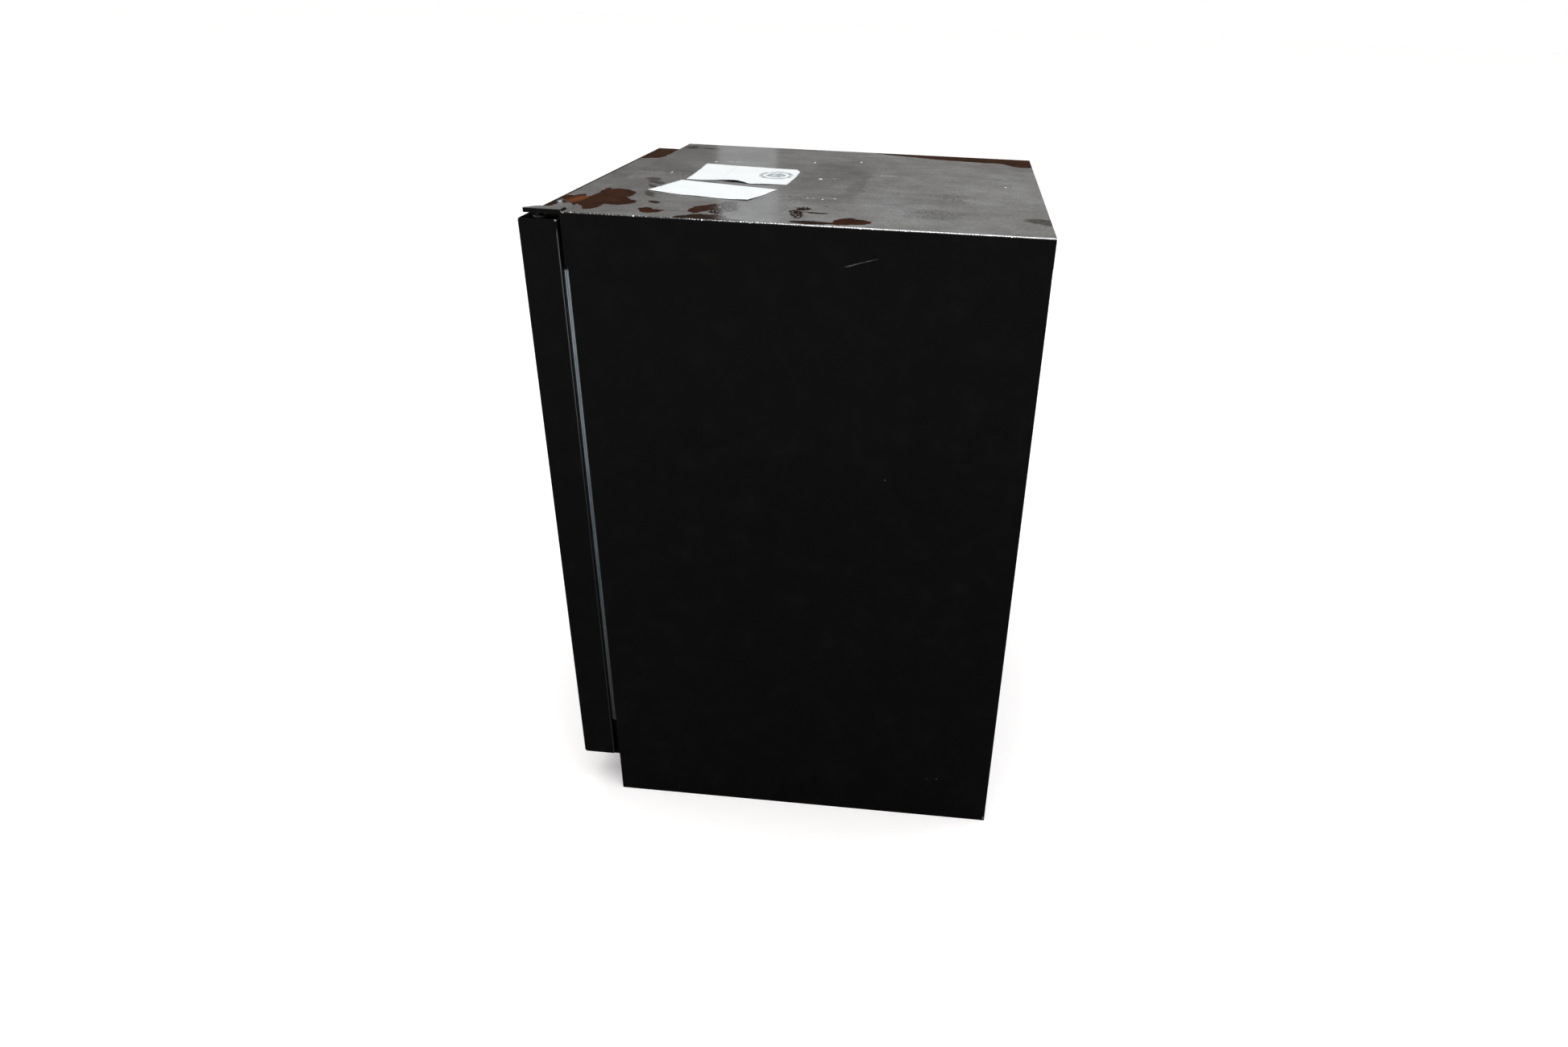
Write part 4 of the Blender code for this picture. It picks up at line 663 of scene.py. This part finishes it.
def gasket_rubber():
    """Pale blue-grey magnetic seal, darker and grimier the lower it is, with painted shade on the outer face
    of its bulb.
    """
    s = Surface("gasket_rubber")
    x, y, z = s.axes(s.place)
    streaks = s.noise(1.0, 5.0, 0.65, s.stretched(160, 160, 14))
    # Paler higher up, darker lower down.
    pale = s.blend(s.band(z, 0.42, 0.76), (0.200, 0.240, 0.270), (0.47, 0.55, 0.60))
    colour = s.blend(s.band(z, 0.13, 0.45), (0.085, 0.092, 0.090), pale)
    grime = s.times(s.band(streaks, 0.45, 0.70), s.band(z, 0.30, 0.80, 0.75, 0.25))
    colour = s.blend(grime, colour, (0.075, 0.078, 0.075))
    outward = s.band(s.math("ABSOLUTE", x), 0.2970, 0.2976)
    # Painted shade on the seal's outer face, on its half next to the door.
    bulb = s.times(s.band(y, -0.2562, -0.2552, 0.62, 0.0), outward)
    colour = s.blend(bulb, colour, (0.020, 0.026, 0.034))
    rough = s.band(streaks, 0.3, 0.7, 0.42, 0.62)
    return s.done(colour, rough, s.bump(s.noise(600, 3.0), 0.00004), Subsurface_Weight=0.05)


def paper():
    """Coated label paper with fibres, a soft fold drawn as a line of painted shade, and a plain grey ring
    printed on one label.
    """
    s = Surface("paper")
    x, y, _ = s.axes(s.place)
    fibres = s.noise(1.0, 4.0, 0.65, s.stretched(260, 900, 260))
    stain = s.noise(24, 5.0, 0.6)
    colour = s.blend(s.band(stain, 0.35, 0.75), (0.89, 0.935, 0.945), (0.84, 0.90, 0.92))
    mark = s.patches(RING_MARK, s.ragged(s.joined(x, y), 160, 0.002))
    ring = s.times(s.band(mark, 0.68, 0.76), s.band(mark, 0.92, 1.0, 1.0, 0.0))
    core = s.band(mark, 0.48, 0.60, 1.0, 0.0)
    broken = s.band(s.noise(150, 3.0, 0.6), 0.40, 0.56, 0.35, 1.0)
    printed = s.times(s.most(ring, core), broken, 0.9)
    colour = s.blend(printed, colour, (0.20, 0.245, 0.28))
    # Painted shade along the crease across the far label.
    crease_shade = s.math("ABSOLUTE", s.math("SUBTRACT", y, LABEL_CREASE))
    crease_shade = s.times(s.band(crease_shade, 0.0002, 0.0008, 1.0, 0.0), s.band(x, *LABEL_CREASE_END, 1.0, 0.0), 0.35)
    colour = s.blend(crease_shade, colour, (0.45, 0.48, 0.50))
    wrinkles = s.bump(s.noise(55, 3.0), 0.0005, s.bump(fibres, 0.00004))
    return s.done(colour, s.band(fibres, 0.3, 0.7, 0.55, 0.72), wrinkles)


LOOKS = {
    "black_paint": paint(),
    "black_paint.dusty": dusty_paint(),
    "galvanised": galvanised(),
    "foam": foam(),
    "white_plastic": liner_plastic(),
    "black_plastic": moulded("black_plastic", (0.016, 0.016, 0.017), (0.024, 0.024, 0.024), 0.46),
    "black_plastic.smoked": moulded(
        "smoked_window", (0.004, 0.004, 0.005), (0.007, 0.006, 0.008), 0.12, 0.000002, 500, Coat_Weight=0.6
    ),
    "grey_plastic": moulded("grey_plastic", (0.30, 0.31, 0.32), (0.36, 0.37, 0.38), 0.42),
    "clear_plastic": clear_plastic(),
    "glass": glass(),
    "aluminium": brushed("aluminium", (0.80, 0.81, 0.82), (0.64, 0.65, 0.67), 0.26),
    "copper": copper(),
    "black_enamel": enamel(),
    "black_rubber": rubber(),
    "gasket_rubber": gasket_rubber(),
    "bright_steel.tarnished": brushed(
        "tarnished_steel", (0.22, 0.22, 0.23), (0.10, 0.10, 0.105), 0.26, (60, 60, 60)
    ),
    "bright_steel": brushed("bright_steel", (0.62, 0.62, 0.63), (0.46, 0.46, 0.48), 0.24, (900, 90, 900)),
    "paper": paper(),
}


# ---------------------------------------------------------------- mesh work


def piece(name, points, faces, body, look):
    """A new smooth-shaded piece in the shared frame."""
    mesh = bpy.data.meshes.new(name)
    mesh.from_pydata([tuple(p) for p in points], [], faces)
    mesh.update()
    obj = bpy.data.objects.new(name, mesh)
    bpy.context.scene.collection.objects.link(obj)
    mesh.materials.append(LOOKS[look])
    mesh.shade_smooth()
    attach(obj, body)
    return obj


def lattice(rows, columns, wrap=False, start=0):
    """Quads between rows of points. With wrap, the last column joins the first."""
    faces = []
    for r in range(rows - 1):
        for c in range(columns if wrap else columns - 1):
            a = start + r * columns + c
            b = start + r * columns + (c + 1) % columns
            faces.append((a, b, b + columns, a + columns))
    return faces


def frame_of(centre, axis):
    """Matrix that takes +Z to the axis and the origin to the centre."""
    turn = Vector((0, 0, 1)).rotation_difference(Vector(axis)).to_matrix().to_4x4()
    return Matrix.Translation(Vector(centre)) @ turn


def turned(profile, steps, place, ripple=None):
    """Points and faces of a turned shape. Profile is (radius, height) from one end to the other.
    Ripple changes a radius by its angle and height."""
    points = []
    for radius, height in profile:
        for i in range(steps):
            angle = 2 * math.pi * i / steps
            r = radius if ripple is None else ripple(angle, radius, height)
            points.append(place @ Vector((r * math.cos(angle), r * math.sin(angle), height)))
    faces = lattice(len(profile), steps, True)
    faces.append(tuple(reversed(range(steps))))
    faces.append(tuple(range((len(profile) - 1) * steps, len(profile) * steps)))
    return points, faces


def merge(*shapes):
    """Several (points, faces) as one."""
    points, faces = [], []
    for more_points, more_faces in shapes:
        base = len(points)
        points += list(more_points)
        faces += [tuple(base + i for i in face) for face in more_faces]
    return points, faces


def rounded(obj, width):
    """Small rounds on an object's sharp edges, with its flats shaded flat."""
    bevel = obj.modifiers.new("edges", "BEVEL")
    bevel.width = width
    bevel.segments = EDGE_SEGMENTS
    bevel.limit_method = "ANGLE"
    bevel.angle_limit = EDGE_ANGLE
    bevel.miter_outer = "MITER_ARC"
    shading = obj.modifiers.new("shading", "WEIGHTED_NORMAL")
    shading.keep_sharp = True


def soften(name, width):
    """A CAD node's faceted mesh with its seams joined, its flats whole and its edges rounded."""
    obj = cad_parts[name]
    obj.data.shade_smooth()
    weld = obj.modifiers.new("weld", "WELD")
    weld.merge_threshold = WELD_DISTANCE
    if name not in PIERCED:
        flats = obj.modifiers.new("flats", "DECIMATE")
        flats.decimate_type = "DISSOLVE"
        flats.angle_limit = FLAT_ANGLE
    rounded(obj, width)


def crisp(obj, degrees):
    """Splits the edges sharper than this many degrees, so that they shade as edges."""
    split = obj.modifiers.new("crisp", "EDGE_SPLIT")
    split.split_angle = math.radians(degrees)


def screw_shape(centre, axis, radius, height):
    """A domed pan head with a cross recess."""
    place = frame_of(centre, axis)
    rings, steps = 22, 72
    points = [place @ Vector((0, 0, height * 0.45))]
    for ring in range(1, rings + 1):
        share = ring / rings
        for i in range(steps):
            angle = 2 * math.pi * i / steps
            x, y = radius * share * math.cos(angle), radius * share * math.sin(angle)
            dome = height * (1 - share**2.2) ** 0.55 if share < 1 else 0.0
            arm = min(abs(x), abs(y)) / (radius * 0.115)
            reach = max(abs(x), abs(y)) / (radius * 0.58)
            recess = max(0.0, min(1.0, 1.6 - arm)) * max(0.0, min(1.0, (1.05 - reach) * 5))
            points.append(place @ Vector((x, y, dome * (1 - 0.62 * recess) + 0.00002)))
    faces = [(0, 1 + i, 1 + (i + 1) % steps) for i in range(steps)]
    faces += lattice(rings, steps, True, 1)
    faces.append(tuple(range(1 + (rings - 1) * steps, 1 + rings * steps))[::-1])
    return points, faces


def screws(name, places, axis, radius, height, body, look="bright_steel"):
    """A set of like screws as one piece."""
    shapes = [screw_shape(place, axis, radius, height) for place in places]
    return piece(name, *merge(*shapes), body, look)


# ---------------------------------------------------------------- pieces


def gasket():
    """Bellows seal round the door: a magnet bulb on a folded web, mitred at its corners."""
    low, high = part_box("door_gasket")
    back, front = low.y, high.y
    deep = front - back
    profile = [
        (0.0006, 1.00), (0.0002, 0.96), (0.0000, 0.88), (0.0001, 0.72), (0.0006, 0.64), (0.0014, 0.56),
        (0.0015, 0.50), (0.0010, 0.44), (0.0004, 0.38), (0.0003, 0.30), (0.0008, 0.22), (0.0016, 0.15),
        (0.0012, 0.07), (0.0010, 0.00), (0.0168, 0.00), (0.0170, 0.10), (0.0160, 0.24), (0.0172, 0.40),
        (0.0162, 0.54), (0.0176, 0.70), (0.0180, 0.86), (0.0176, 0.97), (0.0170, 1.00), (0.0120, 1.00),
        (0.0090, 0.97), (0.0060, 1.00),
    ]
    corners = [(low.x, low.z, 1, 1), (high.x, low.z, -1, 1), (high.x, high.z, -1, -1), (low.x, high.z, 1, -1)]
    shapes = []
    for side in range(4):
        start, end = corners[side], corners[(side + 1) % 4]
        length = math.hypot(end[0] - start[0], end[1] - start[1])
        count = int(length / SEAL_STEP)
        points = []
        for step in range(count + 1):
            t = step / count
            calm = min(1.0, 12 * t, 12 * (1 - t))
            for inset, share in profile:
                x = (start[0] + inset * start[2]) * (1 - t) + (end[0] + inset * end[2]) * t
                z = (start[1] + inset * start[3]) * (1 - t) + (end[1] + inset * end[3]) * t
                wave = SEAL_WAVE * calm * noise.noise(Vector((x * 18, z * 18, side * 3.1)))
                y = back + deep * share
                fold = abs(share - 0.5) < 0.3
                if side % 2:
                    x += (wave + SEAL_PUFF * calm) * (-1 if side == 1 else 1) * fold
                else:
                    z += (wave + SEAL_PUFF * calm) * (1 if side == 0 else -1) * fold
                points.append((x, y, z))
        faces = lattice(count + 1, len(profile), True)
        faces.append(tuple(range(len(profile))))
        faces.append(tuple(reversed(range(count * len(profile), (count + 1) * len(profile)))))
        shapes.append((points, faces))
    obj = piece("door_seal", *merge(*shapes), "door", "gasket_rubber")
    crisp(obj, 50)
    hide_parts("door_gasket")


def along(points, share):
    """The point a share of the way along a run of points, by length."""
    lengths = [(Vector(b) - Vector(a)).length for a, b in zip(points, points[1:])]
    left = share * sum(lengths)
    for a, b, length in zip(points, points[1:], lengths):
        if left <= length:
            return Vector(a).lerp(Vector(b), left / length)
        left -= length
    return Vector(points[-1])


def label(name, node, near, right, far, left, lift):
    """A torn paper label between four edge lines, laid on the top and curling where lift says."""
    rows, columns = 44, 52
    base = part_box(node)[0].z - PAPER_DROP
    limit = cad_box[1].z - PAPER_HEADROOM
    points = []
    for r in range(rows):
        v = r / (rows - 1)
        for c in range(columns):
            u = c / (columns - 1)
            a, b = along(near, u), along(far, u)
            d, e = along(left, v), along(right, v)
            corner = (
                Vector(near[0]) * (1 - u) * (1 - v)
                + Vector(near[-1]) * u * (1 - v)
                + Vector(far[0]) * (1 - u) * v
                + Vector(far[-1]) * u * v
            )
            p = a * (1 - v) + b * v + d * (1 - u) + e * u - corner
            edge = min(u, v, 1 - u, 1 - v)
            tear = max(0.0, 1 - edge * 14) * PAPER_TEAR
            p.x += tear * noise.noise(Vector((p.x * 210, p.y * 210, 1.7)))
            p.y += tear * noise.noise(Vector((p.x * 210, p.y * 210, 7.3)))
            rise = 0.0
            for x, y, radius, height in lift:
                rise += height * math.exp(-(((p.x - x) ** 2 + (p.y - y) ** 2) / radius**2))
            rise += PAPER_RIPPLE * (1 + noise.noise(Vector((p.x * 34, p.y * 34, 4.1))))
            points.append((p.x, p.y, min(base + rise, limit)))
    obj = piece(name, points, lattice(rows, columns), "cabinet", "paper")
    thick = obj.modifiers.new("thick", "SOLIDIFY")
    thick.thickness = PAPER_THICKNESS
    thick.offset = 1
    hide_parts(node)


def labels():
    """Two blank labels, torn and curling, on the cabinet's top."""
    label(
        "paper_label_left",
        "label_left",
        near=[(-0.0940, -0.1766), (-0.0152, -0.1738), (0.0467, -0.1730)],
        right=[
            (0.0467, -0.1730),
            (0.0464, -0.1544),
            (0.0406, -0.1214),
            (0.0412, -0.1026),
            (0.0587, -0.0837),
            (0.0506, -0.0345),
        ],
        far=[(-0.0812, -0.0405), (-0.0621, -0.0332), (-0.0158, -0.0323), (0.0506, -0.0345)],
        left=[(-0.0940, -0.1766), (-0.0812, -0.0405)],
        lift=[(0.046, -0.110, 0.022, 0.0013), (0.055, -0.060, 0.018, 0.0005), (-0.09, -0.17, 0.02, 0.0005)],
    )
    label(
        "paper_label_right",
        "label_right",
        near=[(0.0538, -0.1774), (0.1000, -0.1890), (0.1422, -0.1994)],
        right=[(0.1422, -0.1994), (0.1623, -0.1500), (0.1763, -0.0838), (0.1765, -0.0632)],
        far=[(0.0905, -0.0408), (0.1350, -0.0510), (0.1765, -0.0632)],
        left=[(0.0538, -0.1774), (0.0720, -0.1100), (0.0905, -0.0408)],
        lift=[(0.174, -0.066, 0.02, 0.0008), (0.142, -0.198, 0.02, 0.0005), (0.165, -0.13, 0.015, 0.0003)],
    )


def door_screw():
    """The cross-head screw in the door's top, over the hinge bushing's strap."""
    low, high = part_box("door_top_screw")
    radius = (high.x - low.x) / 2
    centre = ((low.x + high.x) / 2, (low.y + high.y) / 2, DOOR_SCREW_SEAT)
    look = "bright_steel.tarnished"
    obj = screws("door_screw", [centre], (0, 0, 1), radius, DOOR_SCREW_HEIGHT, "door", look)
    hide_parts("door_top_screw")


def feet():
    """Four threaded levelling feet with a notched pad."""
    for node in ("leg_front_left", "leg_front_right", "leg_rear_left", "leg_rear_right"):
        low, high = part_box(node)
        centre = (low + high) / 2
        radius = (high.x - low.x) / 2
        place = Matrix.Translation((centre.x, centre.y, low.z))
        pad = [
            (0.0, 0.0),
            (radius * 0.82, 0.0),
            (radius * 0.97, 0.0006),
            (radius, 0.0016),
            (radius, PAD_HEIGHT - 0.0016),
            (radius * 0.97, PAD_HEIGHT - 0.0006),
            (radius * 0.90, PAD_HEIGHT),
            (STEM_RADIUS * 1.5, PAD_HEIGHT + 0.0004),
            (0.0, PAD_HEIGHT + 0.0004),
        ]

        def notched(angle, r, _):
            wave = max(0.0, math.cos(angle * 8)) ** 6
            return r - PAD_NOTCH * wave * (r > radius * 0.8)

        def threaded(angle, r, height):
            phase = (height / THREAD_PITCH - angle / (2 * math.pi)) % 1
            return r + THREAD_DEPTH * (abs(phase - 0.5) - 0.25) * (0 < r < STEM_RADIUS * 1.01)

        length = high.z - low.z
        steps = int((length - PAD_HEIGHT) / (THREAD_PITCH / 6))
        rod = [(0.0, PAD_HEIGHT)]
        rod += [(STEM_RADIUS, PAD_HEIGHT + (length - PAD_HEIGHT) * i / steps) for i in range(steps)]
        rod += [(STEM_RADIUS * 0.8, length), (0.0, length)]
        _, end, side = node.split("_")
        body = f"{side}_{end}_foot"
        pad_obj = piece(f"{node}_foot_pad", *turned(pad, 96, place, notched), body, "black_plastic")
        rod_obj = piece(f"{node}_thread", *turned(rod, 36, place, threaded), body, "bright_steel")
        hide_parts(node)
        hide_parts(node)


def blade_shape(place, hub, tip, deep, angle, sweep, pitch, thick):
    """One curved, twisted fan blade with an aerofoil's section."""
    spans, chords = 12, 10
    loops = []
    for i in range(spans + 1):
        t = i / spans
        r = hub * 0.92 + (tip - hub * 0.92) * t
        half = pitch * (0.62 + 0.38 * math.sin(math.pi * min(1.0, 0.25 + 0.7 * t)))
        lead = angle + sweep * t * t
        upper, lower = [], []
        for j in range(chords + 1):
            s = j / chords
            a = lead + half * (s - 0.5) * 2
            camber = deep * (0.5 - s) * (0.92 - 0.25 * t) + deep * 0.10 * math.sin(math.pi * s)
            body = thick * (0.25 + 0.75 * math.sin(math.pi * min(1.0, s * 1.15 + 0.02))) * (1 - 0.45 * t)
            upper.append(Vector((r * math.cos(a), r * math.sin(a), camber + body / 2)))
            lower.append(Vector((r * math.cos(a), r * math.sin(a), camber - body / 2)))
        loops.append(upper + lower[::-1])
    count = len(loops[0])
    points = [place @ p for loop in loops for p in loop]
    faces = lattice(len(loops), count, True)
    faces.append(tuple(reversed(range(count))))
    faces.append(tuple(range((len(loops) - 1) * count, len(loops) * count)))
    return points, faces


def fan(name, node, axis, blades, body, look):
    """A moulded fan wheel in the space of its CAD node."""
    low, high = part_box(node)
    size = high - low
    deep = abs(size.dot(Vector(axis)))
    half = deep / 2
    tip = max(size) / 2 * 0.995
    hub = tip * 0.33
    place = frame_of((low + high) / 2, axis)
    profile = [
        (0.0, -half),
        (hub * 0.86, -half),
        (hub, -half * 0.82),
        (hub, half * 0.45),
        (hub * 0.93, half * 0.72),
        (hub * 0.72, half * 0.90),
        (hub * 0.40, half * 0.97),
        (hub * 0.30, half * 0.93),
        (0.0, half * 0.93),
    ]
    shapes = [turned(profile, 64, place)]
    pitch = math.pi / blades * 0.62
    for i in range(blades):
        angle = 2 * math.pi * i / blades
        shapes.append(blade_shape(place, hub, tip, deep * 0.86, angle, BLADE_SWEEP, pitch, BLADE_THICKNESS))
    obj = piece(name, *merge(*shapes), body, look)
    crisp(obj, 48)
    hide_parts(node)


def fixings():
    """The screws that hold the top hinge, the grille, the rear cover and the back panel."""
    front, back = (0, -1, 0), (0, 1, 0)
    sheet_screw = (SCREW_RADIUS, SCREW_HEIGHT, "cabinet")
    low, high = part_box("top_hinge")
    heads = [((low.x + high.x) / 2, FACE - HINGE_FACE, z) for z in (0.818, 0.842)]
    screws("top_hinge_screws", heads, front, *sheet_screw)

    low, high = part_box("rear_cover")
    left, right = low.x + 0.012, high.x - 0.012
    heads = [(x, BACK - HEAD_SINK, high.z - 0.007) for x in (left, 0.0, right)]
    heads += [(x, BACK - HEAD_SINK, 0.02) for x in (left, right)]
    screws("rear_cover_screws", heads, back, *sheet_screw)

    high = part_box("back_panel")[1]
    heads = [(x, high.y, high.z - 0.010) for x in (-0.27, -0.09, 0.09, 0.27)]
    heads += [(x, high.y, z) for x in (-0.290, 0.290) for z in (0.34, 0.50, 0.66)]
    screws("back_panel_screws", heads, back, *sheet_screw)

    low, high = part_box("kick_grille")
    heads = [(x, low.y, (low.z + high.z) / 2) for x in (low.x + 0.010, high.x - 0.010)]
    screws("grille_screws", heads, front, GRILLE_SCREW_RADIUS, GRILLE_SCREW_HEIGHT, "cabinet")


# ---------------------------------------------------------------- camera, light and floor


def camera():
    """At the photograph's place and angle."""
    data = bpy.data.cameras.new("camera")
    data.lens = CAMERA_LENS
    data.sensor_width = CAMERA_SENSOR
    data.shift_x, data.shift_y = CAMERA_SHIFT
    data.clip_start = 0.05
    obj = bpy.data.objects.new("camera", data)
    bpy.context.scene.collection.objects.link(obj)
    right, up = Vector(CAMERA_RIGHT), Vector(CAMERA_UP)
    turn = Matrix((right, up, right.cross(up))).transposed()
    obj.matrix_world = Matrix.Translation(CAMERA_PLACE) @ turn.to_4x4()
    bpy.context.scene.camera = obj


def lamp(name, kind, place, target, power, size=(1.0, 1.0), tint=(1, 1, 1), **settings):
    data = bpy.data.lights.new(name, kind)
    data.energy = power
    data.color = tint
    if kind == "AREA":
        data.shape = "RECTANGLE"
        data.size, data.size_y = size
    for key, value in settings.items():
        setattr(data, key, value)
    obj = bpy.data.objects.new(name, data)
    bpy.context.scene.collection.objects.link(obj)
    obj.location = place
    obj.rotation_euler = (Vector(target) - Vector(place)).to_track_quat("-Z", "Y").to_euler()
    obj.visible_camera = False


def lights():
    """Plain soft studio light: an even overhead wash, a key over the hinge side, a strip that the
    top mirrors, and fills for the front, back and far side. The room is dark in reflections."""
    lamp("wash", "SUN", (0, 0, 4), (0, 0, 0), 2.55, angle=math.radians(70))
    lamp("key", "AREA", (1.5, 0.2, 3.0), (0, 0, 0.8), 20, (1.4, 1.4))
    lamp("strip", "AREA", (-3.0, -0.69, 1.5), (0.2, -0.1, 0.86), 0.42, (0.25, 1.2), (0.92, 0.97, 1.0))
    lamp("front_fill", "AREA", (0.6, -3.4, 1.3), (0, 0, 0.45), 34, (2.6, 1.6))
    lamp("rear_fill", "AREA", (-0.4, 3.6, 1.2), (0, 0, 0.45), 34, (2.6, 1.6))
    lamp("left_fill", "AREA", (-3.4, 0.3, 0.26), (0, 0, 0.42), 16, (2.2, 0.36))
    world = bpy.data.worlds.new("studio")
    world.use_nodes = True
    tree = world.node_tree
    background = tree.nodes["Background"]
    path = tree.nodes.new("ShaderNodeLightPath")
    mix = tree.nodes.new("ShaderNodeMix")
    mix.data_type = "RGBA"
    mix.inputs[6].default_value = (0.055, 0.035, 0.026, 1)
    mix.inputs[7].default_value = (1.0, 1.0, 1.0, 1)
    tree.links.new(path.outputs["Is Camera Ray"], mix.inputs[0])
    tree.links.new(mix.outputs[2], background.inputs["Color"])
    bpy.context.scene.world = world


def floor():
    """A plain pale floor, darker in reflections, as it would be past a studio's lamps."""
    mesh = bpy.data.meshes.new("floor")
    reach = 40
    corners = [(-reach, -reach, 0), (reach, -reach, 0), (reach, reach, 0), (-reach, reach, 0)]
    mesh.from_pydata(corners, [], [(0, 1, 2, 3)])
    obj = bpy.data.objects.new("floor", mesh)
    bpy.context.scene.collection.objects.link(obj)
    s = Surface("floor")
    path = s.add("ShaderNodeLightPath")
    pale = s.blend(s.noise(3.0, 3.0), (0.93, 0.93, 0.93), (0.95, 0.95, 0.95))
    far = s.band(s.axes(s.place)[0], 0.5, 3.2)
    mirrored = s.blend(far, (0.035, 0.035, 0.035), (0.15, 0.15, 0.15))
    colour = s.blend(path.outputs["Is Glossy Ray"], pale, mirrored)
    shine = s.band(path.outputs["Is Glossy Ray"], 0.0, 1.0, 0.24, 0.0)
    s.plug(s.shader.inputs["Emission Strength"], shine)
    mesh.materials.append(s.done(colour, 0.9, Specular_IOR_Level=0.2, Emission_Color=(1, 1, 1, 1)))


# ---------------------------------------------------------------- the scene

camera()
lights()
floor()
bpy.context.scene.view_settings.view_transform = "Standard"

DUSTY = ("cabinet_wrapper", "door_shell", "top_hinge")
SHEET_PARTS = ("galvanised", "black_paint", "copper", "aluminium")
for name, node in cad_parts.items():
    slot = node.data.materials[0].name.split(".")[0]
    look = slot
    if name in DUSTY:
        look = "black_paint.dusty"
    if name == "display_window":
        look = "black_plastic.smoked"
    node.data.materials[0] = LOOKS[look]
    soften(name, SHEET_EDGE if slot in SHEET_PARTS else MOULDED_EDGE)

gasket()
labels()
door_screw()
feet()
fan("evaporator_fan_wheel", "evaporator_fan_blade", (0, -1, 0), 7, "evaporator_fan", "white_plastic")
fan("condenser_fan_wheel", "condenser_fan_blade", (-1, 0, 0), 5, "condenser_fan", "black_plastic")
fixings()
